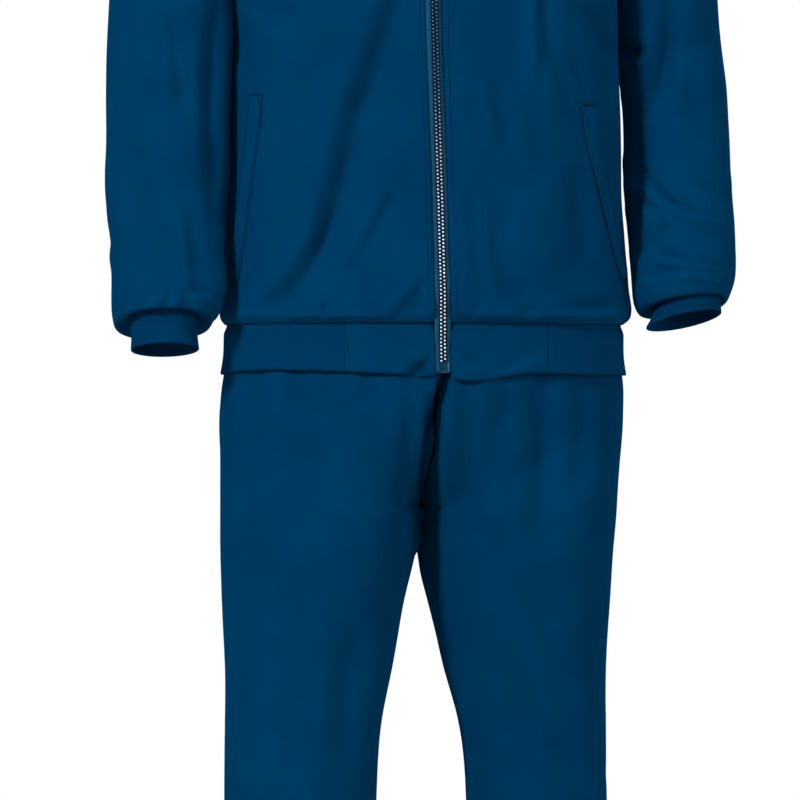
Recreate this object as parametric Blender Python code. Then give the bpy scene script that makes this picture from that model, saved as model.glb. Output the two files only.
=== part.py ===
"""A worn, empty tracksuit: zip jacket with a ribbed hem and cuffs, over plain trousers.

Metres, +Z up. The wearer faces -Y, so +X is the wearer's left. The origin is level with
the point where the collar meets the shoulder seam. Every piece of cloth is a thin wall
on a surface that is worked out from the section tables below. Pieces that are sewn
together share one surface and stop SEAM apart.
"""

import math
from collections import namedtuple

import bmesh
import bpy
from mathutils import Matrix, Vector

# Walls and seams
SEAM = 0.0003
CLOTH = 0.0012
RIB = 0.0016
DOUBLE = 0.0020
ELASTIC = 0.0024

# Jacket heights
HEM_BOTTOM = -0.6640
HEM_SEAM = -0.6145
ARMPIT = -0.2400
YOKE = 0.2000            # length of a column from the armpit's level up to the shoulder
CROWN = 2.4              # how square the body's sections are: 2 is an ellipse

# Above ARMPIT each column of the body is a curve from the armpit's level to the top edge.
# How far it leaves and arrives forwards or backwards, and how steeply it arrives, change
# from the body's middle to its side.
LEAVE_SIDE = 0.04
ARRIVE_MIDDLE = 0.10
ARRIVE_SIDE = 0.22
ARRIVE_RISE = 0.9
ARRIVE_FLAT = 0.6

# Neck and shoulder
NECK_WIDE = 0.074
NECK_MIDDLE = 0.008      # how far back the neck's middle lies
NECK_FRONT = 0.080
NECK_BACK = 0.070
NECK_DROP_FRONT = -0.088
NECK_DROP_BACK = -0.014
NECK_END = 0.45          # part of the front's width that ends in the neckline
SHOULDER_TIP = Vector((0.207, 0.012, -0.046))
SHOULDER_ARCH = 0.004    # how far the shoulder seam's middle stands over a straight line
ARMHOLE_CUT = 0.25       # part of the panel's width that the armhole takes
TOP_GAP = 0.0006 * YOKE  # what the panels leave at the shoulder seam
SIDE_GAP = SEAM / 2 / 0.19   # and at the side seam, as part of the panel's width

# How far from an edge a panel's folds and the turn of its wall die out
HEM_SETTLE = 0.012
SIDE_SETTLE = 0.12       # as part of the panel's width
SHOULDER_SETTLE = 0.030
CAP_SETTLE = 0.075       # the sleeve takes the armhole's shape over this length
SLEEVE_FOLDS_TOP = -0.260
SLEEVE_FOLDS_BOTTOM = -0.605
LEG_SETTLE = 0.05        # as part of the way round the leg
LEG_FOLDS_TOP = -0.665
SHARE_ROWS = 0.15        # as parts of the column's length and of the panel's width
SHARE_END = 0.99
SHARE_COLUMNS = 0.10

# The first of the sleeve's wall, whose direction is shared with the body's: down to which
# height, over how much height, and how much of it
SHARE_CAP = 0.02
SHARE_SIDE = (-0.16, 0.10, 0.75)
SHARE_DEPTH = (-0.10, 0.05, 0.95)

# Columns and rows
SLEEVE_COLUMNS = 16      # the armhole's rows meet the sleeve's columns one to one
NECK_COLUMNS_FRONT = 5   # and the collar's columns meet those of the fronts and the back
NECK_COLUMNS_BACK = 4
SHOULDER_COLUMNS = 4
BAGGING_ROWS = [-0.6105, -0.6050, -0.5960, -0.5820]
JACKET_ROWS_FROM = -0.5600
CAP_ROWS = [0.0, 0.012, 0.030, 0.052, 0.078, 0.105, 0.130, 0.160]
THIGH_ROWS = [-0.815, -0.835, -0.860, -0.890, -0.925, -0.965, -1.010, -1.060, -1.115]
SHIN_FROM = -1.170

# How square a tube's sections are: 2 is an ellipse
SLEEVE_SQUARE = 2.2
CUFF_SQUARE = 2.0
LEG_SQUARE = 2.3

# Collar
COLLAR_TOP_WIDE = 0.066
COLLAR_TOP_FRONT = 0.074
COLLAR_TOP_BACK = 0.058
COLLAR_CF_TOP = -0.023
COLLAR_SIDE_TOP = 0.046
COLLAR_BACK_TOP = 0.050
COLLAR_SWELL = 0.0025    # how far its middle stands out

# Zip
ZIP_HALF = 0.0080
TAPE_SUNK = 0.0011
TAPE_WALL = 0.0010
TAPE_SHORT = 0.0010      # how much the tapes stop short of the cloth's lower edge
CHAIN_HALF = 0.0038
CHAIN_WALL = 0.0018
CHAIN_BOTTOM = HEM_BOTTOM + 0.0110
BOX_WIDE = 0.0110
BOX_DEEP = 0.0030
BOX_LONG = 0.0100
BOX_Z = HEM_BOTTOM + 0.0055

# Slider: a plate over the chain, a cheek down each side of it, and a bridge with a window
SLIDER_Z = -0.040
CHAIN_TOP = SLIDER_Z + 0.002
SLIDER_WIDE = 0.0104
SLIDER_LONG = 0.0130
SLIDER_PLATE = 0.0014
CHEEK_WIDE = 0.0009
CHEEK_LONG = 0.0124
BRIDGE_WIDE = 0.0022
BRIDGE_LONG = 0.0096
BRIDGE_DEEP = 0.0044
BRIDGE_UP = 0.0010
BRIDGE_SUNK = 0.0004
WINDOW_LONG = 0.0064
WINDOW_DEEP = 0.0026

# Pull tab: its bar turns in the bridge's window, and the bridge goes through its eye
HINGE_DOWN = 0.0005
HINGE_DEEP = 0.0014
PULL_WIDE = 0.0070
PULL_LONG = 0.028
PULL_THICK = 0.0013
PULL_BAR = 0.0014
EYE_WIDE = 0.0032
EYE_LONG = 0.0066
ROUND_EDGE = 0.0006
THIN_EDGE = 0.0004

# Hem band: where its plain front parts end and the rib begins, from the body's middle
BAND_SPLIT_RIGHT = 0.092
BAND_SPLIT_LEFT = 0.107
WELT_LIFT = 0.0008

# Trousers
WAIST_TOP = -0.5350
WAIST_SEAM = -0.5760
RISE_TURN = -0.6740      # the rise seam starts to curve under from here
CROTCH = -0.8000
LEG_HEM = -1.5500
SEAT_FULL = -0.8250      # the seat's cloth closes the gap between the legs down to here
SEAT_END = -0.8800       # and lets go of it by here
SEAT_PULL = 0.0140
SEAT_FROM = 0.78         # the part of the way round each leg where it starts
SEAT_EASE = 0.12         # the part of the way round over which it comes in
INSEAM_EASE = 0.05       # and over which it lets go at the inseam

Body = namedtuple("Body", "z right left front back")
Sleeve = namedtuple("Sleeve", "inner_x inner_z outer_x outer_z y deep pitch")
Cuff = namedtuple("Cuff", "x y z wide deep pitch roll")
Leg = namedtuple("Leg", "z inner outer y front back")
Lean = namedtuple("Lean", "z x")
Welt = namedtuple("Welt", "z from_middle wide")
Fold = namedtuple("Fold", "x0 z0 x1 z1 wide deep")
Wave = namedtuple("Wave", "turn wide drop")

# Jacket body: half widths to each side and depths from the side seams, hem upward
JACKET = [
    Body(-0.6145, 0.2000, 0.2000, 0.1200, 0.1180),
    Body(-0.6070, 0.2040, 0.2070, 0.1262, 0.1242),
    Body(-0.5980, 0.2040, 0.2078, 0.1276, 0.1254),
    Body(-0.5780, 0.2015, 0.2050, 0.1266, 0.1230),
    Body(-0.5300, 0.1992, 0.2022, 0.1240, 0.1170),
    Body(-0.4680, 0.1962, 0.1975, 0.1225, 0.1110),
    Body(-0.4020, 0.1950, 0.1965, 0.1225, 0.1080),
    Body(-0.3400, 0.1928, 0.1950, 0.1230, 0.1090),
    Body(-0.2900, 0.1925, 0.1950, 0.1240, 0.1110),
    Body(-0.2400, 0.1920, 0.1935, 0.1240, 0.1120),
]

# Hem band, bottom upward
BAND = [
    Body(-0.6640, 0.2036, 0.2028, 0.1206, 0.1215),
    Body(-0.6470, 0.2010, 0.2004, 0.1202, 0.1190),
    Body(-0.6148, 0.2000, 0.2000, 0.1200, 0.1180),
]

# The band's lower edge: turn in degrees from the front, to the wearer's left positive
BAND_WAVES = [
    Wave(-62, 30, -0.0050),
    Wave(14, 16, 0.0060),
    Wave(40, 12, -0.0020),
    Wave(150, 30, 0.0040),
    Wave(-140, 26, 0.0030),
]

# The zip's line leans to the wearer's right towards the top
ZIP_LEAN = [
    Lean(-0.6640, 0.0015),
    Lean(-0.5000, -0.0020),
    Lean(-0.3000, -0.0080),
    Lean(-0.1000, -0.0100),
    Lean(0.1000, -0.0100),
]

# Sleeves: the inner and outer ends of each ring, armhole downward; the right one first
SLEEVE_RIGHT = [
    Sleeve(0.1920, -0.2400, 0.2070, -0.0460, 0.006, 0.060, 0.00),
    Sleeve(0.1962, -0.2480, 0.2450, -0.0620, 0.006, 0.063, 0.00),
    Sleeve(0.1966, -0.2570, 0.2790, -0.1080, 0.003, 0.064, 0.00),
    Sleeve(0.1966, -0.2680, 0.3010, -0.1700, -0.002, 0.064, 0.00),
    Sleeve(0.1960, -0.2820, 0.3120, -0.2320, -0.007, 0.063, 0.00),
    Sleeve(0.1955, -0.3040, 0.3162, -0.2960, -0.012, 0.062, 0.00),
    Sleeve(0.1956, -0.3420, 0.3186, -0.3420, -0.017, 0.060, 0.00),
    Sleeve(0.1973, -0.3940, 0.3190, -0.3940, -0.020, 0.058, 0.02),
    Sleeve(0.1994, -0.4700, 0.3178, -0.4700, -0.025, 0.055, 0.10),
    Sleeve(0.2022, -0.5090, 0.3170, -0.5090, -0.029, 0.053, 0.16),
    Sleeve(0.2046, -0.5480, 0.3160, -0.5480, -0.035, 0.052, 0.22),
    Sleeve(0.2082, -0.5780, 0.3160, -0.5780, -0.042, 0.051, 0.26),
    Sleeve(0.2125, -0.5990, 0.3168, -0.5990, -0.049, 0.050, 0.30),
    Sleeve(0.2158, -0.6110, 0.3155, -0.6110, -0.054, 0.048, 0.34),
    Sleeve(0.2205, -0.6155, 0.3115, -0.6155, -0.0560, 0.0440, 0.34),
    Sleeve(0.2320, -0.6080, 0.3000, -0.6080, -0.0568, 0.0322, 0.24),
]
SLEEVE_LEFT = [
    Sleeve(0.1935, -0.2400, 0.2070, -0.0460, 0.006, 0.060, 0.00),
    Sleeve(0.1975, -0.2480, 0.2450, -0.0620, 0.008, 0.063, 0.00),
    Sleeve(0.1980, -0.2570, 0.2760, -0.1080, 0.010, 0.063, 0.00),
    Sleeve(0.1984, -0.2680, 0.2910, -0.1700, 0.012, 0.062, 0.00),
    Sleeve(0.1988, -0.2820, 0.2970, -0.2320, 0.013, 0.061, 0.00),
    Sleeve(0.1992, -0.3040, 0.3013, -0.2960, 0.014, 0.060, 0.00),
    Sleeve(0.1998, -0.3370, 0.3055, -0.3370, 0.014, 0.058, 0.00),
    Sleeve(0.2018, -0.4020, 0.3105, -0.4020, 0.011, 0.057, 0.03),
    Sleeve(0.2030, -0.4540, 0.3116, -0.4540, 0.003, 0.056, 0.09),
    Sleeve(0.2044, -0.5060, 0.3116, -0.5060, -0.012, 0.054, 0.16),
    Sleeve(0.2050, -0.5480, 0.3120, -0.5480, -0.029, 0.053, 0.22),
    Sleeve(0.2050, -0.5720, 0.3085, -0.5680, -0.040, 0.050, 0.26),
    Sleeve(0.2056, -0.5880, 0.3035, -0.5830, -0.046, 0.047, 0.30),
    Sleeve(0.2082, -0.5970, 0.3000, -0.5900, -0.0495, 0.0440, 0.30),
    Sleeve(0.2130, -0.6010, 0.2968, -0.5925, -0.0510, 0.0400, 0.28),
    Sleeve(0.2240, -0.5965, 0.2908, -0.5885, -0.0522, 0.0319, 0.24),
]

# Cuffs: middle of each ring, half sizes, and how it tilts; top downward
CUFF_RIGHT = [
    Cuff(0.2660, -0.0560, -0.6045, 0.0338, 0.0320, 0.24, 0.00),
    Cuff(0.2657, -0.0600, -0.6230, 0.0325, 0.0305, 0.24, 0.00),
    Cuff(0.2655, -0.0640, -0.6395, 0.0336, 0.0312, 0.22, 0.00),
]
CUFF_LEFT = [
    Cuff(0.2583, -0.0510, -0.5845, 0.0318, 0.0310, 0.24, 0.12),
    Cuff(0.2568, -0.0535, -0.5965, 0.0332, 0.0312, 0.25, 0.14),
    Cuff(0.2530, -0.0570, -0.6095, 0.0376, 0.0325, 0.26, 0.17),
]

# Trousers above the crotch, top downward
HIPS = [
    Body(-0.5350, 0.1660, 0.1660, 0.0990, 0.1040),
    Body(-0.5758, 0.1740, 0.1740, 0.1030, 0.1060),
    Body(-0.6000, 0.1830, 0.1820, 0.1070, 0.1090),
    Body(-0.6300, 0.1930, 0.1915, 0.1110, 0.1120),
    Body(-0.6560, 0.1983, 0.1973, 0.1130, 0.1157),
    Body(-0.6700, 0.2008, 0.1996, 0.1152, 0.1188),
    Body(-0.6860, 0.2025, 0.2003, 0.1172, 0.1205),
    Body(-0.7170, 0.2046, 0.2005, 0.1180, 0.1245),
    Body(-0.7510, 0.2032, 0.1988, 0.1170, 0.1240),
    Body(-0.7760, 0.2030, 0.1962, 0.1150, 0.1210),
    Body(-0.8000, 0.2029, 0.1945, 0.1120, 0.1160),
]

# Legs below the crotch: inner and outer side from the body's middle, top downward
LEG_RIGHT = [
    Leg(-0.6740, 0.0002, 0.2040, 0.004, 0.114, 0.120),
    Leg(-0.8000, 0.0014, 0.2029, 0.004, 0.110, 0.117),
    Leg(-0.8420, 0.0090, 0.2034, 0.000, 0.103, 0.109),
    Leg(-0.8740, 0.0190, 0.2031, -0.004, 0.097, 0.102),
    Leg(-0.9150, 0.0268, 0.2024, -0.008, 0.092, 0.096),
    Leg(-0.9510, 0.0332, 0.2011, -0.012, 0.088, 0.091),
    Leg(-0.9850, 0.0405, 0.2015, -0.015, 0.085, 0.088),
    Leg(-1.0200, 0.0468, 0.2024, -0.018, 0.082, 0.085),
    Leg(-1.0860, 0.0517, 0.2032, -0.022, 0.079, 0.082),
    Leg(-1.2000, 0.0560, 0.2005, -0.024, 0.075, 0.079),
    Leg(-1.3500, 0.0610, 0.1950, -0.020, 0.069, 0.073),
    Leg(-1.5000, 0.0640, 0.1885, -0.012, 0.064, 0.066),
    Leg(-1.5500, 0.0650, 0.1875, -0.010, 0.063, 0.065),
]
LEG_LEFT = [
    Leg(-0.6740, 0.0002, 0.2000, 0.004, 0.114, 0.120),
    Leg(-0.8000, 0.0010, 0.1945, 0.005, 0.110, 0.117),
    Leg(-0.8430, 0.0026, 0.1917, 0.008, 0.104, 0.110),
    Leg(-0.8700, 0.0040, 0.1906, 0.011, 0.099, 0.105),
    Leg(-0.8890, 0.0066, 0.1899, 0.013, 0.096, 0.101),
    Leg(-0.9150, 0.0128, 0.1883, 0.015, 0.093, 0.097),
    Leg(-0.9400, 0.0200, 0.1870, 0.017, 0.090, 0.093),
    Leg(-0.9690, 0.0262, 0.1864, 0.019, 0.087, 0.090),
    Leg(-1.0000, 0.0350, 0.1867, 0.020, 0.084, 0.087),
    Leg(-1.0320, 0.0440, 0.1870, 0.022, 0.081, 0.084),
    Leg(-1.0940, 0.0468, 0.1888, 0.024, 0.078, 0.081),
    Leg(-1.2000, 0.0500, 0.1900, 0.026, 0.075, 0.078),
    Leg(-1.3500, 0.0560, 0.1860, 0.028, 0.069, 0.072),
    Leg(-1.5000, 0.0610, 0.1820, 0.032, 0.064, 0.066),
    Leg(-1.5500, 0.0615, 0.1815, 0.033, 0.063, 0.065),
]

# Pocket welts: the edge that is sewn down, measured across from the body's middle
WELT_RIGHT = [
    Welt(-0.3920, 0.1700, 0.0130),
    Welt(-0.4450, 0.1745, 0.0150),
    Welt(-0.5110, 0.1825, 0.0150),
    Welt(-0.5740, 0.1925, 0.0130),
]
WELT_LEFT = [
    Welt(-0.4010, 0.1440, 0.0170),
    Welt(-0.4290, 0.1480, 0.0200),
    Welt(-0.4720, 0.1600, 0.0200),
    Welt(-0.5210, 0.1740, 0.0190),
    Welt(-0.5700, 0.1880, 0.0130),
]

# The largest folds, in front view and back view: a line, its half width and its depth
JACKET_FRONT_FOLDS = [
    Fold(-0.040, -0.300, -0.066, -0.400, 0.030, 0.0060),
    Fold(-0.066, -0.400, -0.112, -0.540, 0.030, 0.0060),
    Fold(-0.150, -0.300, -0.140, -0.430, 0.024, 0.0040),
    Fold(-0.176, -0.590, -0.110, -0.572, 0.014, 0.0035),
    Fold(0.112, -0.300, 0.104, -0.400, 0.018, -0.0040),
    Fold(0.070, -0.290, 0.072, -0.470, 0.022, 0.0040),
    Fold(0.150, -0.560, 0.060, -0.585, 0.016, 0.0035),
    Fold(0.150, -0.130, 0.090, -0.230, 0.022, 0.0050),
    Fold(-0.155, -0.130, -0.085, -0.240, 0.022, 0.0050),
]
JACKET_BACK_FOLDS = [
    Fold(0.020, -0.060, 0.008, -0.300, 0.024, 0.0045),
    Fold(0.150, -0.160, 0.110, -0.330, 0.024, 0.0060),
    Fold(-0.150, -0.150, -0.118, -0.310, 0.024, 0.0060),
    Fold(0.130, -0.420, 0.040, -0.500, 0.022, 0.0055),
    Fold(-0.140, -0.440, -0.030, -0.520, 0.022, 0.0050),
    Fold(0.080, -0.540, -0.060, -0.580, 0.018, 0.0045),
]
TROUSER_FRONT_FOLDS = [
    Fold(-0.004, -0.700, -0.015, -0.830, 0.014, 0.0140),
    Fold(0.028, -0.700, 0.012, -0.790, 0.014, 0.0050),
    Fold(-0.122, -0.680, -0.112, -0.800, 0.020, 0.0045),
    Fold(0.070, -0.690, 0.100, -0.820, 0.020, 0.0045),
    Fold(-0.055, -0.900, -0.100, -0.985, 0.022, 0.0050),
    Fold(0.050, -0.930, 0.096, -1.010, 0.020, 0.0050),
    Fold(-0.150, -1.120, -0.090, -1.170, 0.018, 0.0045),
    Fold(0.155, -1.130, 0.085, -1.180, 0.018, 0.0045),
    Fold(-0.130, -1.420, -0.085, -1.460, 0.016, 0.0045),
    Fold(0.140, -1.430, 0.085, -1.470, 0.016, 0.0045),
]
TROUSER_BACK_FOLDS = [
    Fold(-0.060, -0.800, -0.140, -0.850, 0.022, 0.0060),
    Fold(0.055, -0.805, 0.135, -0.850, 0.022, 0.0060),
    Fold(-0.070, -0.880, -0.130, -0.910, 0.018, 0.0045),
    Fold(0.065, -0.885, 0.125, -0.915, 0.018, 0.0045),
    Fold(-0.080, -1.090, -0.160, -1.120, 0.020, 0.0060),
    Fold(0.070, -1.090, 0.155, -1.125, 0.020, 0.0060),
    Fold(-0.150, -1.170, -0.090, -1.200, 0.018, 0.0050),
    Fold(0.150, -1.175, 0.085, -1.205, 0.018, 0.0050),
    Fold(-0.090, -1.440, -0.150, -1.470, 0.016, 0.0050),
    Fold(0.085, -1.445, 0.145, -1.475, 0.016, 0.0050),
]
SLEEVE_FOLDS = [
    Fold(0.285, -0.330, 0.225, -0.360, 0.018, 0.0045),
    Fold(0.225, -0.385, 0.285, -0.410, 0.016, 0.0040),
    Fold(0.290, -0.470, 0.235, -0.490, 0.014, 0.0040),
    Fold(0.245, -0.520, 0.300, -0.545, 0.012, 0.0040),
    Fold(0.225, -0.560, 0.290, -0.565, 0.010, 0.0035),
]

Look = namedtuple("Look", "red green blue rough metal")
LOOKS = {
    "cloth": Look(0.0, 0.036, 0.102, 0.60, 0.0),
    "rib": Look(0.0, 0.031, 0.088, 0.75, 0.0),
    "tape": Look(0.0, 0.080, 0.200, 0.70, 0.0),
    "chain": Look(0.110, 0.180, 0.260, 0.35, 0.4),
    "metal": Look(0.300, 0.340, 0.380, 0.30, 1.0),
}

# Girths that turn a seam's width into part of the way round, and the fineness of searches
SLEEVE_GIRTH = 2 * math.pi * 0.055
CUFF_GIRTH = 2 * math.pi * 0.032
BAND_HALF_GIRTH = 0.30
WAIST_HALF_GIRTH = 0.20
LEG_SEAM = 0.0008        # a leg's seam, as part of the way round
HALVINGS = 40
PROBE = 0.002
WELT_STEP = 0.004


def clear_scene():
    for item in list(bpy.data.objects):
        bpy.data.objects.remove(item, do_unlink=True)


def finish(name, kind):
    """A material of the piece's own."""
    look = LOOKS[kind]
    material = bpy.data.materials.new(name)
    material.use_nodes = True
    shader = material.node_tree.nodes["Principled BSDF"]
    shader.inputs["Base Color"].default_value = (look.red, look.green, look.blue, 1.0)
    shader.inputs["Roughness"].default_value = look.rough
    shader.inputs["Metallic"].default_value = look.metal
    return material


def add_object(name, bm, material, collection):
    mesh = bpy.data.meshes.new(name)
    bm.to_mesh(mesh)
    bm.free()
    item = bpy.data.objects.new(name, mesh)
    item.data.materials.append(material)
    collection.objects.link(item)
    return item


def smooth_step(t):
    t = min(max(t, 0.0), 1.0)
    return t * t * (3.0 - 2.0 * t)


def read_table(stations, values, at):
    """A smooth curve through the table's values that never overshoots them."""
    if at <= stations[0]:
        return values[0]
    if at >= stations[-1]:
        return values[-1]
    i = 0
    while at > stations[i + 1]:
        i += 1
    steps = [b - a for a, b in zip(stations, stations[1:])]
    rises = [(b - a) / s for a, b, s in zip(values, values[1:], steps)]

    def slope(k):
        if k == 0:
            return rises[0]
        if k == len(rises):
            return rises[-1]
        before, after = rises[k - 1], rises[k]
        if before * after <= 0.0:
            return 0.0
        return 2.0 * before * after / (before + after)

    t = (at - stations[i]) / steps[i]
    h = steps[i]
    start = (1 + 2 * t) * (1 - t) ** 2 * values[i] + t * (1 - t) ** 2 * h * slope(i)
    end = t * t * (3 - 2 * t) * values[i + 1] + t * t * (t - 1) * h * slope(i + 1)
    return start + end


def section(table, z):
    """The table's columns at one height, whichever way its rows run."""
    rows = sorted(table, key=lambda row: row.z)
    stations = [row.z for row in rows]
    columns = zip(*[row[1:] for row in rows])
    return [read_table(stations, list(column), z) for column in columns]


def oval(turn, square):
    """Unit point of a squarish ring: turn 0 is its front, a quarter turn its side."""
    s, c = math.sin(turn), math.cos(turn)
    k = (abs(s) ** square + abs(c) ** square) ** (-1.0 / square)
    return k * s, -k * c


def fold_depth(folds, x, z):
    """How far the folds draw the cloth in at one place of a front or back view."""
    total = 0.0
    for fold in folds:
        run = Vector((fold.x1 - fold.x0, fold.z1 - fold.z0))
        there = Vector((x - fold.x0, z - fold.z0))
        t = min(max(there.dot(run) / run.length_squared, 0.0), 1.0)
        away = (there - run * t).length
        total += fold.deep * math.exp(-((away / fold.wide) ** 2))
    return total


def zip_lean(z):
    return section(ZIP_LEAN, z)[0]


def body_ring(table, u, z, face):
    """A point of the body's tube: u from -1 to 1 across the front or the back."""
    right, left, front, back = section(table, z)
    x, y = oval(abs(u) * math.pi / 2, CROWN)
    wide = left if u > 0 else right
    deep = front if face < 0 else back
    middle = (1.0 - u * u) ** 2 * zip_lean(z) if face < 0 else 0.0
    return Vector((math.copysign(wide * x, u) + middle, -face * deep * y, z))


def neckline(turn, face):
    """A point of the neck's opening: turn 0 is the middle, a quarter turn the shoulder."""
    s, c = math.sin(turn), math.cos(turn)
    deep = NECK_FRONT if face < 0 else NECK_BACK
    drop = NECK_DROP_FRONT if face < 0 else NECK_DROP_BACK
    return Vector((NECK_WIDE * s, NECK_MIDDLE + face * deep * c, drop * c * c))


def top_edge(u, face):
    """Neckline, then the shoulder seam out to the tip."""
    away = abs(u)
    if away <= NECK_END:
        turn = away / NECK_END * math.pi / 2
        point = neckline(turn, face)
        lean = math.cos(turn) ** 2 * zip_lean(point.z) if face < 0 else 0.0
    else:
        lean = 0.0
        along = (away - NECK_END) / (1.0 - NECK_END)
        start = neckline(math.pi / 2, face)
        point = start.lerp(SHOULDER_TIP, along)
        point.z += SHOULDER_ARCH * math.sin(math.pi * along)
    point.x = math.copysign(point.x, u) + lean
    return point


def torso(u, v, face):
    """The jacket's body. Up to ARMPIT v is a height; above it runs up each column."""
    u = min(max(u, -1.0), 1.0)
    if v <= ARMPIT:
        point = body_ring(JACKET, u, v, face)
    else:
        f = min((v - ARMPIT) / YOKE, 1.0)
        low = body_ring(JACKET, u, ARMPIT, face)
        high = top_edge(u, face)
        rise = high.z - low.z
        pull = u * u
        leave = Vector((0, face * LEAVE_SIDE * pull, rise))
        reach = ARRIVE_MIDDLE + ARRIVE_SIDE * pull
        arrive = Vector((0, -face * reach, rise * (ARRIVE_RISE - ARRIVE_FLAT * pull)))
        point = (
            low * (1 + 2 * f) * (1 - f) ** 2
            + leave * f * (1 - f) ** 2
            + high * f * f * (3 - 2 * f)
            + arrive * f * f * (f - 1)
        )
    folds = JACKET_FRONT_FOLDS if face < 0 else JACKET_BACK_FOLDS
    settle = smooth_step((point.z - HEM_SEAM) / HEM_SETTLE)
    settle *= smooth_step((1.0 - abs(u)) / SIDE_SETTLE)
    if v > ARMPIT:
        settle *= smooth_step((ARMPIT + YOKE - v) / SHOULDER_SETTLE)
    point.y -= face * fold_depth(folds, point.x, point.z) * settle
    return point


def armhole_reach(v):
    """How far across the panel reaches at this row: all of it, but for the armhole."""
    if v <= ARMPIT:
        return 1.0
    f = min((v - ARMPIT) / (YOKE - TOP_GAP), 1.0)
    return 1.0 - ARMHOLE_CUT * math.sqrt(max(4 * f * (1 - f), 0.0))


def armhole(turn, side):
    """The armhole's edge: turn 0 is the underarm, half a turn the shoulder's tip."""
    face = -1 if turn <= math.pi else 1
    v = ARMPIT + YOKE * (1 - math.cos(turn)) / 2
    reach = 1.0 - ARMHOLE_CUT * abs(math.sin(turn))
    return torso(side * reach, v, face)


def across_at(surface, v, x):
    """The place across the surface, at row v, that lies x from the body's middle."""
    low, high = -1.0, 1.0
    for _ in range(HALVINGS):
        middle = (low + high) / 2
        if surface(middle, v).x < x:
            low = middle
        else:
            high = middle
    return (low + high) / 2


def zip_edge(surface, v, side):
    """The place across where a front's edge meets the zip."""
    return across_at(surface, v, surface(0.0, v).x + side * ZIP_HALF)


def normal_at(surface, u, v):
    """The surface's outward direction, from its own neighbours."""
    across = surface(u + PROBE, v) - surface(u - PROBE, v)
    along = surface(u, v + PROBE) - surface(u, v - PROBE)
    return across.cross(along).normalized()


def torso_normal(surface, u, v):
    """Along the shoulder seam front and back share one direction, straight up.

    They come to share it over the panel's last SHARE_ROWS and, across, over the
    SHARE_COLUMNS beside the neck.
    """
    normal = normal_at(surface, u, v)
    shared = smooth_step((v - ARMPIT - (SHARE_END - SHARE_ROWS) * YOKE) / (SHARE_ROWS * YOKE))
    shared *= smooth_step((abs(u) - NECK_END + SHARE_COLUMNS) / SHARE_COLUMNS)
    normal.y *= 1.0 - shared
    return normal.normalized()


def sleeve_normal(surface, u, v):
    """Where the sleeve starts from the shoulder its wall stands as the body's does."""
    normal = normal_at(surface, u, v)
    start = smooth_step(1.0 - v / SHARE_CAP)
    height = surface(u, v).z
    for axis, (low, over, most) in ((0, SHARE_SIDE), (1, SHARE_DEPTH)):
        normal[axis] *= 1.0 - most * start * smooth_step((height - low) / over)
    return normal.normalized()


def cloth(name, surface, across, along, wall, material, collection,
          sunk=0.0, keep=None, facing=normal_at):
    """A wall of cloth on a surface: a sheet and its copy, joined all round its rim.

    across holds the columns and the function that gives a column's place in a row, and
    along lists the rows.
    """
    columns, place = across
    bm = bmesh.new()
    bmesh.ops.create_grid(bm, x_segments=len(columns) - 1, y_segments=len(along) - 1, size=0.5)
    raised = bmesh.ops.extrude_face_region(bm, geom=bm.faces[:])
    outer = [item for item in raised["geom"] if isinstance(item, bmesh.types.BMVert)]
    bmesh.ops.translate(bm, verts=outer, vec=(0, 0, 1))
    bmesh.ops.recalc_face_normals(bm, faces=bm.faces[:])
    for vert in bm.verts:
        s = columns[round((vert.co.x + 0.5) * (len(columns) - 1))]
        v = along[round((vert.co.y + 0.5) * (len(along) - 1))]
        u = place(s, v)
        depth = sunk if vert.co.z > 0.5 else sunk + wall
        point = surface(u, v) - facing(surface, u, v) * depth
        vert.co = keep(point) if keep else point
    if bm.calc_volume(signed=True) < 0:
        bmesh.ops.reverse_faces(bm, faces=bm.faces[:])
    bmesh.ops.triangulate(bm, faces=bm.faces[:], quad_method="SHORT_EDGE")
    return add_object(name, bm, material, collection)


def steps(start, end, count):
    return [start + (end - start) * i / count for i in range(count + 1)]


def between(edge_a, edge_b):
    """Places between two edges, each a function of the row."""
    return lambda s, v: edge_a(v) * (1 - s) + edge_b(v) * s


def jacket_rows():
    """Rows of the jacket's body, closer where the cloth bags over the hem band."""
    low = [HEM_SEAM] + BAGGING_ROWS
    middle = steps(JACKET_ROWS_FROM, ARMPIT, 9)
    half = SLEEVE_COLUMNS // 2
    high = [ARMPIT + YOKE * (1 - math.cos(math.pi * i / half)) / 2 for i in range(1, half)]
    return low + middle + high + [ARMPIT + YOKE - TOP_GAP]


def neck_edge(side):
    """Where the zip's edge cuts the neckline, as part of the panel's width."""
    top = ARMPIT + YOKE - TOP_GAP
    return abs(zip_edge(lambda u, v: torso(u, v, -1), top, side))


def front_columns(side):
    """The corner between neckline and shoulder seam falls on a column."""
    edge = neck_edge(side)
    corner = (NECK_END - edge) / (1.0 - edge)
    return steps(0.0, corner, NECK_COLUMNS_FRONT) + steps(corner, 1.0, SHOULDER_COLUMNS)[1:]


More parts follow.
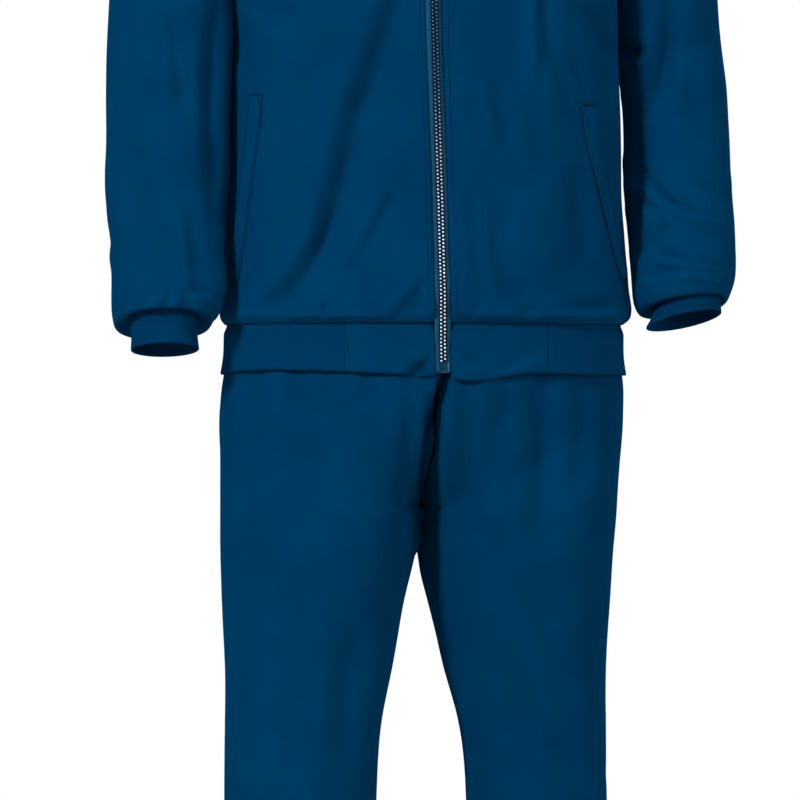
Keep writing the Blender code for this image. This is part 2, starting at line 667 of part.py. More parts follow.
def make_jacket_body(collection):
    rows = jacket_rows()
    surface = lambda u, v: torso(u, v, -1)
    for side, word in ((-1, "right"), (1, "left")):
        middle = lambda v, side=side: zip_edge(surface, v, side)
        edge = lambda v, side=side: side * (armhole_reach(v) - SIDE_GAP)
        cloth(
            "jacket_front_" + word, surface, (front_columns(side), between(middle, edge)), rows,
            CLOTH, finish("front_" + word, "cloth"), collection, facing=torso_normal,
        )
    half = steps(0.0, NECK_END, NECK_COLUMNS_BACK)
    half += steps(NECK_END, 1.0, SHOULDER_COLUMNS)[1:]
    columns = [-s for s in reversed(half[1:])] + half
    reach = lambda s, v: s * (armhole_reach(v) - SIDE_GAP)
    cloth(
        "jacket_back", lambda u, v: torso(-u, v, 1), (columns, reach), rows,
        CLOTH, finish("jacket_back", "cloth"), collection, facing=torso_normal,
    )


def sleeve_rings(table):
    """Each ring's place along the sleeve, from the distance between ring middles."""
    at = [0.0]
    for a, b in zip(table, table[1:]):
        gap = Vector((
            (a.inner_x + a.outer_x - b.inner_x - b.outer_x) / 2,
            a.y - b.y,
            (a.inner_z + a.outer_z - b.inner_z - b.outer_z) / 2,
        ))
        at.append(at[-1] + max(gap.length, 0.004))
    return at


def make_sleeve_surface(table, side):
    """A sleeve as a surface: u once round from the underarm seam by the front, v down."""
    at = sleeve_rings(table)
    columns = [list(column) for column in zip(*table)]

    def ring(u, v):
        inner_x, inner_z, outer_x, outer_z, y, deep, pitch = [
            read_table(at, column, v) for column in columns
        ]
        forward, outward = oval(2 * math.pi * u, SLEEVE_SQUARE)
        middle = Vector(((inner_x + outer_x) / 2, y, (inner_z + outer_z) / 2))
        half = Vector(((outer_x - inner_x) / 2, 0, (outer_z - inner_z) / 2))
        point = middle + half * outward - Vector((0, deep * forward, 0))
        point.z += pitch * deep * forward
        point.x *= side
        return point

    def surface(u, v):
        u = u % 1.0
        point = ring(u, v)
        left_over = 1.0 - smooth_step(v / CAP_SETTLE)
        if left_over > 0.0:
            sewn = armhole(2 * math.pi * u, side) + Vector((side * 2 * SEAM, 0, 0))
            point += (sewn - ring(u, 0.0)) * left_over
        middle_x = (read_table(at, columns[0], v) + read_table(at, columns[2], v)) / 2
        middle_y = read_table(at, columns[4], v)
        out = Vector((point.x - side * middle_x, point.y - middle_y, 0))
        settle = smooth_step((SLEEVE_FOLDS_TOP - point.z) / 0.05)
        settle *= smooth_step((point.z - SLEEVE_FOLDS_BOTTOM) / 0.03)
        out.x *= 0.3
        point -= out.normalized() * fold_depth(SLEEVE_FOLDS, abs(point.x), point.z) * settle
        return point

    return surface, at


def make_sleeves(collection):
    for side, word, table in ((-1, "right", SLEEVE_RIGHT), (1, "left", SLEEVE_LEFT)):
        surface, at = make_sleeve_surface(table, side)
        turned = surface if side < 0 else (lambda u, v, s=surface: s(1.0 - u, v))
        rows = CAP_ROWS + steps(CAP_ROWS[-1], at[-5], 10)[1:] + at[-4:]
        gap = SEAM / 2 / SLEEVE_GIRTH
        columns = [gap] + steps(0.0, 1.0, SLEEVE_COLUMNS)[1:-1] + [1.0 - gap]
        cloth(
            "jacket_sleeve_" + word, turned, (columns, lambda s, v: s), rows, CLOTH,
            finish("sleeve_" + word, "cloth"), collection, facing=sleeve_normal,
        )


def cuff_surface(table, side):
    rows = list(reversed(table))
    stations = [row.z for row in rows]
    columns = [[row[i] for row in rows] for i in (0, 1, 3, 4, 5, 6)]

    def surface(u, v):
        x, y, wide, deep, pitch, roll = [read_table(stations, column, v) for column in columns]
        forward, outward = oval(2 * math.pi * u, CUFF_SQUARE)
        point = Vector((x + wide * outward, y - deep * forward, v))
        point.z += pitch * deep * forward + roll * wide * outward
        point.x *= side
        return point

    return surface


def make_cuffs(collection):
    for side, word, table in ((-1, "right", CUFF_RIGHT), (1, "left", CUFF_LEFT)):
        surface = cuff_surface(table, side)
        turned = surface if side > 0 else (lambda u, v, s=surface: s(1.0 - u, v))
        gap = SEAM / 2 / CUFF_GIRTH
        columns = [gap] + steps(0.0, 1.0, SLEEVE_COLUMNS)[1:-1] + [1.0 - gap]
        rows = steps(table[-1].z, table[0].z, 3)
        cloth(
            "jacket_cuff_" + word, turned, (columns, lambda s, v: s), rows, RIB,
            finish("cuff_" + word, "rib"), collection,
        )


def collar(u, v):
    """The standing collar: u from -1 to 1 round the neck through the back, v upward."""
    u = min(max(u, -1.0), 1.0)
    v = min(max(v, 0.0), 1.0)
    turn = (1.0 - abs(u)) * math.pi
    face = -1 if turn <= math.pi / 2 else 1
    flat = turn if face < 0 else math.pi - turn
    low = neckline(flat, face)
    s, c = math.sin(flat), math.cos(flat)
    deep = COLLAR_TOP_FRONT if face < 0 else COLLAR_TOP_BACK
    end = COLLAR_CF_TOP if face < 0 else COLLAR_BACK_TOP
    height = COLLAR_SIDE_TOP + (end - COLLAR_SIDE_TOP) * c * c
    high = Vector((COLLAR_TOP_WIDE * s, NECK_MIDDLE + face * deep * c, height))
    point = low.lerp(high, v)
    point.z += SEAM * (1 - v)
    point += Vector((s, face * c, 0)) * math.sin(math.pi * v) ** 2 * COLLAR_SWELL
    point.x = math.copysign(point.x, u)
    if face < 0:
        point.x += zip_lean(point.z) * c * c
    return point


def make_collar(collection):
    """Its columns stand on those of the fronts and the back."""
    back = steps(0.0, NECK_END, NECK_COLUMNS_BACK)
    outside = lambda u, v: collar(-u, v)

    def half(side):
        """From the front's edge round to the back's middle."""
        front = steps(neck_edge(side), NECK_END, NECK_COLUMNS_FRONT)
        turns = [0.5 * share / NECK_END for share in front]
        turns += [1.0 - 0.5 * share / NECK_END for share in reversed(back)][1:]
        return [1.0 - turn for turn in turns]

    left, right = half(1), half(-1)
    columns = [-u for u in left] + list(reversed(right[:-1]))

    def place(u, v):
        """The two ends keep the zip's width all the way up."""
        if u not in (-left[0], right[0]):
            return u
        away = abs(outside(u, v).x - outside(math.copysign(1.0, u), v).x)
        return math.copysign(1.0 - (1.0 - abs(u)) * ZIP_HALF / away, u)

    cloth(
        "jacket_collar", outside, (columns, place), steps(0.0, 1.0, 3), DOUBLE,
        finish("collar", "cloth"), collection,
    )


def band(u, v, face):
    """The hem band, whose lower edge rises and falls a little."""
    point = body_ring(BAND, u, v, face)
    turn = math.degrees(math.atan2(point.x, -point.y))
    low = smooth_step((HEM_SEAM - v) / (HEM_SEAM - HEM_BOTTOM))
    for wave in BAND_WAVES:
        away = (turn - wave.turn) / wave.wide
        point.z -= wave.drop * math.exp(-away * away) * low
    return point


def band_round(u, v):
    """The band all round: u from -2 to 2, where 0 is the front's middle."""
    if abs(u) <= 1.0:
        return band(u, v, -1)
    return band(math.copysign(2.0 - abs(u), u), v, 1)


def make_band(collection):
    rows = steps(HEM_BOTTOM, HEM_SEAM - SEAM, 3)
    front = lambda u, v: band(u, v, -1)
    splits = {
        -1: lambda v: across_at(front, v, -BAND_SPLIT_RIGHT),
        1: lambda v: across_at(front, v, BAND_SPLIT_LEFT),
    }
    gap = SEAM / 2 / BAND_HALF_GIRTH
    for side, word in ((-1, "right"), (1, "left")):
        start = lambda v, side=side: zip_edge(front, v, side)
        end = lambda v, side=side: splits[side](v) - side * gap
        cloth(
            "waistband_front_" + word, band_round, (steps(0, 1, 5), between(start, end)),
            rows, DOUBLE, finish("band_front_" + word, "cloth"), collection,
        )

    def rib_round(u, v):
        """The same ring with its count starting at the back's middle."""
        return band_round(2.0 + u if u < 0 else u - 2.0, v)

    first = lambda v: splits[1](v) + gap - 2.0
    last = lambda v: splits[-1](v) - gap + 2.0
    cloth(
        "waistband_rib", rib_round, (steps(0, 1, 24), between(first, last)),
        rows, DOUBLE, finish("band_rib", "rib"), collection,
    )


def make_welts(collection):
    surface = lambda u, v: torso(u, v, -1)
    for side, word, table in ((-1, "right", WELT_RIGHT), (1, "left", WELT_LEFT)):
        near = lambda v, side=side, t=table: across_at(surface, v, side * section(t, v)[0])

        def far(v, side=side, t=table):
            """The open edge, the welt's width further round the body."""
            from_middle, wide = section(t, v)
            u = across_at(surface, v, side * from_middle)
            here = surface(u, v)
            while abs(u) < 1.0 and (surface(u, v) - here).length < wide:
                u += side * WELT_STEP
            return u

        rows = steps(table[-1].z, table[0].z, 9)
        cloth(
            "pocket_welt_" + word, surface, (steps(0, 1, 2), between(near, far)), rows,
            CLOTH, finish("welt_" + word, "cloth"), collection,
            sunk=-(CLOTH + WELT_LIFT),
        )


def zip_line(x, v):
    """The zip's surface: v is a height, through band, body and collar in turn."""
    if v <= HEM_SEAM:
        point = body_ring(BAND, 0.0, v, -1)
    elif v <= ARMPIT:
        point = torso(0.0, v, -1)
    else:
        low, high = ARMPIT, ARMPIT + YOKE
        if v < NECK_DROP_FRONT:
            for _ in range(HALVINGS):
                middle = (low + high) / 2
                if torso(0.0, middle, -1).z < v:
                    low = middle
                else:
                    high = middle
            point = torso(0.0, low, -1)
        else:
            share = (v - NECK_DROP_FRONT) / (COLLAR_CF_TOP - NECK_DROP_FRONT)
            point = collar(1.0, share)
    return Vector((point.x + x, point.y, v))


def zip_rows(low, high):
    """Tapes and chain share their rows, so that they stay apart on every bend."""
    inside = [CHAIN_BOTTOM] + steps(-0.635, -0.045, 24) + [CHAIN_TOP]
    return [low] + [z for z in inside if low < z < high] + [high]


def make_zip(collection):
    rows = zip_rows(HEM_BOTTOM + TAPE_SHORT, COLLAR_CF_TOP - 2 * TAPE_SHORT)
    for side, word in ((-1, "right"), (1, "left")):
        edges = [side * SEAM / 2, side * (ZIP_HALF - SEAM)]
        cloth(
            "zip_tape_" + word, zip_line, (edges, lambda s, v: s), rows, TAPE_WALL,
            finish("tape_" + word, "tape"), collection, sunk=TAPE_SUNK,
        )
    rows = zip_rows(CHAIN_BOTTOM, CHAIN_TOP)
    cloth(
        "zip_chain", zip_line, ([-CHAIN_HALF, CHAIN_HALF], lambda s, v: s), rows,
        CHAIN_WALL, finish("chain", "chain"), collection,
        sunk=TAPE_SUNK - SEAM - CHAIN_WALL,
    )


def place_on_zip(z, height):
    """A frame on the zip: x across, y out of the cloth, z up along it."""
    point = zip_line(0.0, z)
    out = normal_at(zip_line, 0.0, z)
    if out.y > 0:
        out = -out
    up = Vector((1, 0, 0)).cross(-out).normalized()
    if up.z < 0:
        up = -up
    across = (-out).cross(up)
    turn = Matrix((across, -out, up)).transposed().to_4x4()
    return Matrix.Translation(point + out * height) @ turn


def block(size, place, bevel):
    """A box with softened edges, centred on its place."""
    bm = bmesh.new()
    bmesh.ops.create_cube(bm, size=1.0, matrix=Matrix.Diagonal((*size, 1.0)))
    if bevel:
        bmesh.ops.bevel(
            bm, geom=bm.edges[:], offset=bevel, segments=2, profile=0.5,
            affect="EDGES", material=-1,
        )
    bmesh.ops.transform(bm, matrix=place, verts=bm.verts[:])
    return bm


def add_boolean(item, other, operation):
    modifier = item.modifiers.new(operation.lower(), "BOOLEAN")
    modifier.operation = operation
    modifier.object = other
    other.hide_render = True
    other.display_type = "WIRE"


def out_of(place, low, deep, along=0.0, aside=0.0):
    """The middle of a piece that stands on the height low over the zip's cloth."""
    return place @ Matrix.Translation((aside, -(low + deep / 2), along))


def make_zip_box(collection):
    place = out_of(place_on_zip(BOX_Z, 0.0), SEAM - TAPE_SUNK, BOX_DEEP)
    bm = block((BOX_WIDE, BOX_DEEP, BOX_LONG), place, ROUND_EDGE)
    add_object("zip_box", bm, finish("zip_box", "metal"), collection)


def make_slider(place, plate_low, bridge_low, collection, helpers):
    metal = finish("slider", "metal")
    plate_at = out_of(place, plate_low, SLIDER_PLATE)
    plate = block((SLIDER_WIDE, SLIDER_PLATE, SLIDER_LONG), plate_at, THIN_EDGE)
    slider = add_object("zip_slider", plate, metal, collection)
    cheek_low = SEAM - TAPE_SUNK
    cheek_deep = plate_low + SLIDER_PLATE / 2 - cheek_low
    for side in (-1, 1):
        aside = side * (CHAIN_HALF + SEAM + CHEEK_WIDE / 2)
        cheek_at = out_of(place, cheek_low, cheek_deep, 0.0, aside)
        cheek = block((CHEEK_WIDE, cheek_deep, CHEEK_LONG), cheek_at, 0.0)
        add_boolean(slider, add_object("cheek", cheek, metal, helpers), "UNION")
    bridge_at = out_of(place, bridge_low, BRIDGE_DEEP, BRIDGE_UP)
    bow = block((BRIDGE_WIDE, BRIDGE_DEEP, BRIDGE_LONG), bridge_at, ROUND_EDGE)
    bridge = add_object("bridge", bow, metal, helpers)
    window_at = out_of(place, bridge_low + BRIDGE_SUNK, WINDOW_DEEP, BRIDGE_UP)
    window = block((2 * BRIDGE_WIDE, WINDOW_DEEP, WINDOW_LONG), window_at, 0.0)
    add_boolean(bridge, add_object("window", window, metal, helpers), "DIFFERENCE")
    add_boolean(slider, bridge, "UNION")


def make_pull(hinge, collection, helpers):
    """The tab hangs from its bar, which is the hinge's axis."""
    metal = finish("pull", "metal")
    low = PULL_BAR / 2 - PULL_LONG / 2
    plate_at = Matrix.Translation((0, 0, low))
    plate = block((PULL_WIDE, PULL_THICK, PULL_LONG), plate_at, THIN_EDGE)
    pull = add_object("zip_pull", plate, metal, collection)
    eye_at = Matrix.Translation((0, 0, -(PULL_BAR + EYE_LONG) / 2))
    hole = block((EYE_WIDE, 4 * PULL_THICK, EYE_LONG), eye_at, 0.0)
    eye = add_object("eye", hole, metal, helpers)
    eye.matrix_world = hinge
    pull.matrix_world = hinge
    add_boolean(pull, eye, "DIFFERENCE")


def make_zip_hardware(collection, helpers):
    make_zip_box(collection)
    place = place_on_zip(SLIDER_Z, 0.0)
    plate_low = CHAIN_WALL + SEAM - TAPE_SUNK + SEAM
    bridge_low = plate_low + SLIDER_PLATE - BRIDGE_SUNK
    make_slider(place, plate_low, bridge_low, collection, helpers)
    hinge_low = bridge_low + BRIDGE_SUNK + HINGE_DEEP
    make_pull(out_of(place, hinge_low, 0.0, -HINGE_DOWN), collection, helpers)


def seat_pull(u, v, z):
    """How far the seat draws the inner back of a leg towards the middle."""
    high = smooth_step((RISE_TURN - v) / (RISE_TURN - CROTCH))
    low = smooth_step((z - SEAT_END) / (SEAT_FULL - SEAT_END))
    place = smooth_step((u - SEAT_FROM) / SEAT_EASE) * smooth_step((1.0 - u) / INSEAM_EASE)
    return SEAT_PULL * high * low * place


def leg_surface(table, side):
    """Half of the trousers: u from 0 at the middle front or inseam, by the outer side,
    to 1 at the middle back or inseam again. v is a height, but between RISE_TURN and
    CROTCH the rows near the rise seam follow that seam as it curves under."""

    def ring(u, z):
        inner, outer, y, front, back = section(table, z)
        forward, outward = oval(2 * math.pi * u, LEG_SQUARE)
        deep = front if forward > 0 else back
        half = (outer - inner) / 2
        return Vector(((inner + outer) / 2 + half * outward, y - deep * forward, z))

    def hips(u, z):
        right, left, front, back = section(HIPS, z)
        x, y = oval(math.pi * min(max(u, 0.0), 1.0), CROWN)
        deep = front if y < 0 else back
        return Vector(((left if side > 0 else right) * abs(x), deep * y, z))

    def surface(u, v):
        inside = min(max(u, 0.0), 1.0)
        z = v
        if v >= RISE_TURN:
            point = hips(inside, v)
        elif v <= CROTCH:
            point = ring(u, v)
        else:
            turn = (RISE_TURN - v) / (RISE_TURN - CROTCH)
            bend = turn * math.pi / 2
            near_seam = math.cos(math.pi * inside) ** 4
            under = RISE_TURN - (RISE_TURN - CROTCH) * math.sin(bend)
            z = v + (under - v) * near_seam
            round_leg = smooth_step(turn)
            round_leg += (1.0 - math.cos(bend) - round_leg) * near_seam
            point = hips(inside, z).lerp(ring(inside, z), round_leg)
        face = -1 if u < 0.5 else 1
        folds = TROUSER_FRONT_FOLDS if face < 0 else TROUSER_BACK_FOLDS
        settle = smooth_step(min(u, abs(u - 0.5), 1 - u) / LEG_SETTLE)
        settle *= smooth_step((LEG_FOLDS_TOP - z) / 0.02)
        point.y -= face * fold_depth(folds, side * point.x, z) * settle
        point.x = side * max(point.x - seat_pull(inside, v, z), SEAM / 2)
        return point

    return surface


def leg_rows():
    upper = steps(WAIST_SEAM - SEAM, RISE_TURN, 4)
    rise = steps(RISE_TURN, CROTCH, 7)[1:]
    return upper + rise + THIGH_ROWS + steps(SHIN_FROM, LEG_HEM, 6)


def make_legs(collection):
    rows = list(reversed(leg_rows()))
    for side, word, table in ((-1, "right", LEG_RIGHT), (1, "left", LEG_LEFT)):
        surface = leg_surface(table, side)

        def keep(point, side=side):
            """Nothing crosses the rise seam's plane."""
            point.x = side * max(side * point.x, SEAM / 2)
            return point

        sheet = surface if side > 0 else (lambda u, v, s=surface: s(1.0 - u, v))
        for part, first in (("front", 0.0), ("back", 0.5)):
            start, end = first + LEG_SEAM, first + 0.5 - LEG_SEAM
            if side < 0:
                start, end = 1 - end, 1 - start
            name = "trouser_%s_%s" % (part, word)
            cloth(
                name, sheet, (steps(start, end, 8), lambda s, v: s), rows, CLOTH,
                finish(name, "cloth"), collection, keep=keep,
            )


def make_waist(collection):
    def round_waist(u, v):
        """All round: u from -2 to 2, where 0 is the front's middle."""
        x, y = oval(abs(u) * math.pi / 2, CROWN)
        right, left, front, back = section(HIPS, v)
        wide = left if u > 0 else right
        deep = front if y < 0 else back
        return Vector((math.copysign(wide * x, u), deep * y, v))

    gap = SEAM / 2 / WAIST_HALF_GIRTH
    cloth(
        "trouser_waistband", round_waist, (steps(-2 + gap, 2 - gap, 28), lambda s, v: s),
        steps(WAIST_SEAM, WAIST_TOP, 2), ELASTIC, finish("waist", "cloth"), collection,
    )


def main():
    clear_scene()
    collection = bpy.data.collections.new("tracksuit")
    helpers = bpy.data.collections.new("cutters")
    bpy.context.scene.collection.children.link(collection)
    bpy.context.scene.collection.children.link(helpers)
    make_jacket_body(collection)
    make_sleeves(collection)
    make_cuffs(collection)
    make_collar(collection)
    make_band(collection)
    make_welts(collection)
    make_zip(collection)
    make_zip_hardware(collection, helpers)
    make_legs(collection)
    make_waist(collection)


main()
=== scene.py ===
# %% [markdown]
# A plain blue tracksuit, filled out as if it were worn, with nobody in it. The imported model
# gives every sewn piece as a plain wall of cloth. This script dresses those pieces: it smooths
# each one, lays the soft folds of a knitted polyester on it, and adds the zip's teeth, the
# sewing and the finish of each surface.

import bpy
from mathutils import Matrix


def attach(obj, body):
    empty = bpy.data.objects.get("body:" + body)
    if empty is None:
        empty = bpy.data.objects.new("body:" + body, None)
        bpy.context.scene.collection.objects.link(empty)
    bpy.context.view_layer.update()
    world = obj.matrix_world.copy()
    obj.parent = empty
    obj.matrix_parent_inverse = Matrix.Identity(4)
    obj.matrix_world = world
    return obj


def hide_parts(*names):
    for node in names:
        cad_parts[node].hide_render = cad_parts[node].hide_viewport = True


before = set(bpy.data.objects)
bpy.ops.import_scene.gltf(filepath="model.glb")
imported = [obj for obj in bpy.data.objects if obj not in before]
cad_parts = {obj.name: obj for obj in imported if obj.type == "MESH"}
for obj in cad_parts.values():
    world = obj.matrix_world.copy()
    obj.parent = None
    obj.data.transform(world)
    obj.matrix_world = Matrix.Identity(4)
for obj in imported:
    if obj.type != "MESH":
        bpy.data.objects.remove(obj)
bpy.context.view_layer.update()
print("packed pieces:", len(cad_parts))

# %% [markdown]
# Meshes are built with bmesh, and numpy moves their points many at a time. Two short helpers
# serve the whole script: one puts an object into the scene, one makes a mesh of a bmesh.

# %% What the script uses
import math
from collections import namedtuple

import bmesh
import bpy
import numpy as np
from mathutils import Matrix, Vector
from mathutils.bvhtree import BVHTree
from mathutils.kdtree import KDTree

SIDES = ("right", "left")


def add_item(name, data):
    item = bpy.data.objects.new(name, data)
    bpy.context.scene.collection.objects.link(item)
    return item


def made_mesh(name, bm):
    mesh = bpy.data.meshes.new(name)
    bm.to_mesh(mesh)
    bm.free()
    return mesh


print("sides:", SIDES)

# %% [markdown]
# The camera comes first, because the folds are placed as the picture shows them. It stands
# level with the thighs, a little to the wearer's right, and far enough away that the suit
# looks almost flat. One millimetre at the body's middle is one eight-hundredth of the
# picture's width, so places in the picture can be written in millimetres.

# %% Camera
VIEW_TURN = math.radians(-8.0)
VIEW_AWAY = 4.5
VIEW_WIDE = 0.800
VIEW_MIDDLE = Vector((-0.0238, 0.0033, -0.690))
SENSOR = 36.0
PER_METRE = 1000         # places in the picture are in millimetres

view_back = Vector((math.sin(VIEW_TURN), -math.cos(VIEW_TURN), 0.0))
view_right = Vector((math.cos(VIEW_TURN), math.sin(VIEW_TURN), 0.0))


def add_camera():
    data = bpy.data.cameras.new("camera")
    data.sensor_width = SENSOR
    data.lens = SENSOR * VIEW_AWAY / VIEW_WIDE
    camera = add_item("camera", data)
    camera.location = VIEW_MIDDLE + view_back * VIEW_AWAY
    camera.rotation_euler = view_back.to_track_quat("Z", "Y").to_euler()
    bpy.context.scene.camera = camera
    return camera


camera = add_camera()
print("camera lens:", round(camera.data.lens, 1), "mm")


def in_picture(places):
    """Across and down in the picture, in millimetres, for an array of places."""
    away = places - np.array(VIEW_MIDDLE)
    shrink = VIEW_AWAY / (VIEW_AWAY - away @ np.array(view_back))
    half = VIEW_WIDE * PER_METRE / 2
    across = half + PER_METRE * (away @ np.array(view_right)) * shrink
    down = half - PER_METRE * away[:, 2] * shrink
    return across, down


# %% [markdown]
# The suit was photographed as a cut-out on white in a soft light from the front and a little
# from the left. A floor, a white surround and five large lamps do the same. The surround is
# bright only where the camera sees it, so that it doesn't wash the dark cloth out.

# %% Floor, surround and lamps
FLOOR_Z = -1.60
FLOOR_HALF = 2.6
FLOOR_COLOUR = (0.80, 0.80, 0.79, 1.0)
FLOOR_ROUGH = 0.7
WHITE = (1.0, 1.0, 1.0, 1.0)
Lamp = namedtuple("Lamp", "name x y z wide watts aim_z")
LAMPS = [
    Lamp("key", -2.55, -2.4, 1.0, 0.8, 126.0, -0.60),
    Lamp("front", -0.4, -4.2, 0.9, 1.4, 20.0, -0.60),
    Lamp("fill", 2.8, -2.0, 0.2, 1.2, 40.0, -0.70),
    Lamp("top", 0.2, -0.6, 2.4, 1.6, 34.0, -0.40),
    Lamp("rim", 0.8, 3.0, 0.6, 2.0, 30.0, -0.70),
]
SURROUND_LIGHT = 0.13


def add_floor():
    bm = bmesh.new()
    bmesh.ops.create_grid(bm, x_segments=1, y_segments=1, size=FLOOR_HALF)
    bmesh.ops.translate(bm, verts=bm.verts[:], vec=(0.0, 0.0, FLOOR_Z))
    mesh = made_mesh("floor", bm)
    floor = add_item("floor", mesh)
    paint = bpy.data.materials.new("pale_floor")
    paint.use_nodes = True
    shader = paint.node_tree.nodes["Principled BSDF"]
    shader.inputs["Base Color"].default_value = FLOOR_COLOUR
    shader.inputs["Roughness"].default_value = FLOOR_ROUGH
    mesh.materials.append(paint)


def add_lamp(lamp):
    data = bpy.data.lights.new(lamp.name, "AREA")
    data.shape = "DISK"
    data.size = lamp.wide
    data.energy = lamp.watts
    item = add_item(lamp.name, data)
    item.location = (lamp.x, lamp.y, lamp.z)
    aim = item.location - Vector((0.0, 0.0, lamp.aim_z))
    item.rotation_euler = aim.to_track_quat("Z", "Y").to_euler()


def set_surround():
    world = bpy.data.worlds.new("surround")
    world.use_nodes = True
    tree = world.node_tree
    tree.nodes.clear()
    out = tree.nodes.new("ShaderNodeOutputWorld")
    seen = tree.nodes.new("ShaderNodeBackground")
    seen.inputs["Color"].default_value = WHITE
    lights = tree.nodes.new("ShaderNodeBackground")
    lights.inputs["Color"].default_value = WHITE
    lights.inputs["Strength"].default_value = SURROUND_LIGHT
    path = tree.nodes.new("ShaderNodeLightPath")
    mix = tree.nodes.new("ShaderNodeMixShader")
    tree.links.new(path.outputs["Is Camera Ray"], mix.inputs["Fac"])
    tree.links.new(lights.outputs[0], mix.inputs[1])
    tree.links.new(seen.outputs[0], mix.inputs[2])
    tree.links.new(mix.outputs[0], out.inputs["Surface"])
    bpy.context.scene.world = world


add_floor()
for lamp in LAMPS:
    add_lamp(lamp)
set_surround()
bpy.context.scene.view_settings.view_transform = "Standard"
bpy.context.scene.view_settings.look = "None"
print("lamps:", len(LAMPS))

# %% [markdown]
# Effects that several finishes share are node groups. A knitted cloth is columns of tiny
# loops, so its relief is one wave across and one along. A rib is the same with deep, round
# columns. Both read the piece's own map, whose unit is a metre of cloth, so they turn with
# the sleeve and keep their size. A slow mottle keeps large areas from looking printed.


# %% Node groups
KNIT_ACROSS = 0.0011
KNIT_ALONG = 0.0008
RIB_PITCH = 0.0021
TWILL_PITCH = 0.0009
TWILL_TURN = 700.0       # how fast the twill turns back and forth across the tape
TWILL_LEAN = 0.0012
WHOLE_TURN = 2 * math.pi


def new_group(name, inputs, outputs):
    group = bpy.data.node_groups.new(name, "ShaderNodeTree")
    for title, kind, value in inputs:
        socket = group.interface.new_socket(name=title, in_out="INPUT", socket_type=kind)
        if value is not None:
            socket.default_value = value
    for title, kind in outputs:
        group.interface.new_socket(name=title, in_out="OUTPUT", socket_type=kind)
    start = group.nodes.new("NodeGroupInput")
    end = group.nodes.new("NodeGroupOutput")
    return group, start, end


def math_node(tree, kind, first, second=None, clamp=False):
    node = tree.nodes.new("ShaderNodeMath")
    node.operation = kind
    node.use_clamp = clamp
    for socket, value in zip(node.inputs, (first, second)):
        if value is None:
            continue
        if isinstance(value, (int, float)):
            socket.default_value = value
        else:
            tree.links.new(value, socket)
    return node.outputs[0]


def wave_node(tree, kind, turn, speed):
    return math_node(tree, kind, math_node(tree, "MULTIPLY", turn, speed))


def hump_node(tree, turn, speed):
    """A row of round humps that all rise from 0."""
    return math_node(tree, "ABSOLUTE", wave_node(tree, "SINE", turn, speed))


def split_node(tree, place):
    node = tree.nodes.new("ShaderNodeSeparateXYZ")
    tree.links.new(place, node.inputs[0])
    return node.outputs


def range_node(tree, value, **ends):
    node = tree.nodes.new("ShaderNodeMapRange")
    for name, end in ends.items():
        node.inputs[name.replace("_", " ")].default_value = end
    tree.links.new(value, node.inputs["Value"])
    return node.outputs[0]


def make_knit_group():
    """Loops in columns: Across and Along are the pitches, in metres."""
    group, start, end = new_group(
        "knit_loops",
        [("Place", "NodeSocketVector", None), ("Across", "NodeSocketFloat", KNIT_ACROSS),
         ("Along", "NodeSocketFloat", KNIT_ALONG)],
        [("Height", "NodeSocketFloat")],
    )
    split = split_node(group, start.outputs["Place"])
    turn_x = math_node(group, "DIVIDE", split[0], start.outputs["Across"])
    turn_y = math_node(group, "DIVIDE", split[1], start.outputs["Along"])
    wave_x = wave_node(group, "COSINE", turn_x, WHOLE_TURN)
    slant = hump_node(group, turn_x, math.pi)
    along = math_node(group, "ADD", turn_y, math_node(group, "MULTIPLY", slant, 0.5))
    wave_y = wave_node(group, "COSINE", along, WHOLE_TURN)
    both = math_node(group, "ADD", math_node(group, "MULTIPLY", wave_x, 0.35),
                     math_node(group, "MULTIPLY", wave_y, 0.15))
    group.links.new(math_node(group, "ADD", both, 0.5), end.inputs["Height"])
    return group


def make_rib_group():
    """Round ribs and narrow valleys: Pitch is in metres."""
    group, start, end = new_group(
        "rib_columns",
        [("Place", "NodeSocketVector", None), ("Pitch", "NodeSocketFloat", RIB_PITCH)],
        [("Height", "NodeSocketFloat"), ("Valley", "NodeSocketFloat")],
    )
    split = split_node(group, start.outputs["Place"])
    turn = math_node(group, "DIVIDE", split[0], start.outputs["Pitch"])
    wave = hump_node(group, turn, math.pi)
    height = math_node(group, "POWER", wave, 0.6)
    group.links.new(height, end.inputs["Height"])
    valley = math_node(group, "SUBTRACT", 1.0, math_node(group, "MULTIPLY", wave, 2.0), clamp=True)
    group.links.new(valley, end.inputs["Valley"])
    return group


def make_mottle_group():
    """A slow, cloudy tone from 0 to 1."""
    group, start, end = new_group(
        "soft_mottle",
        [("Place", "NodeSocketVector", None), ("Scale", "NodeSocketFloat", 14.0)],
        [("Tone", "NodeSocketFloat")],
    )
    noise = group.nodes.new("ShaderNodeTexNoise")
    noise.inputs["Detail"].default_value = 4.0
    noise.inputs["Roughness"].default_value = 0.6
    group.links.new(start.outputs["Place"], noise.inputs["Vector"])
    group.links.new(start.outputs["Scale"], noise.inputs["Scale"])
    tone = range_node(group, noise.outputs[0], From_Min=0.3, From_Max=0.7)
    group.links.new(tone, end.inputs["Tone"])
    return group


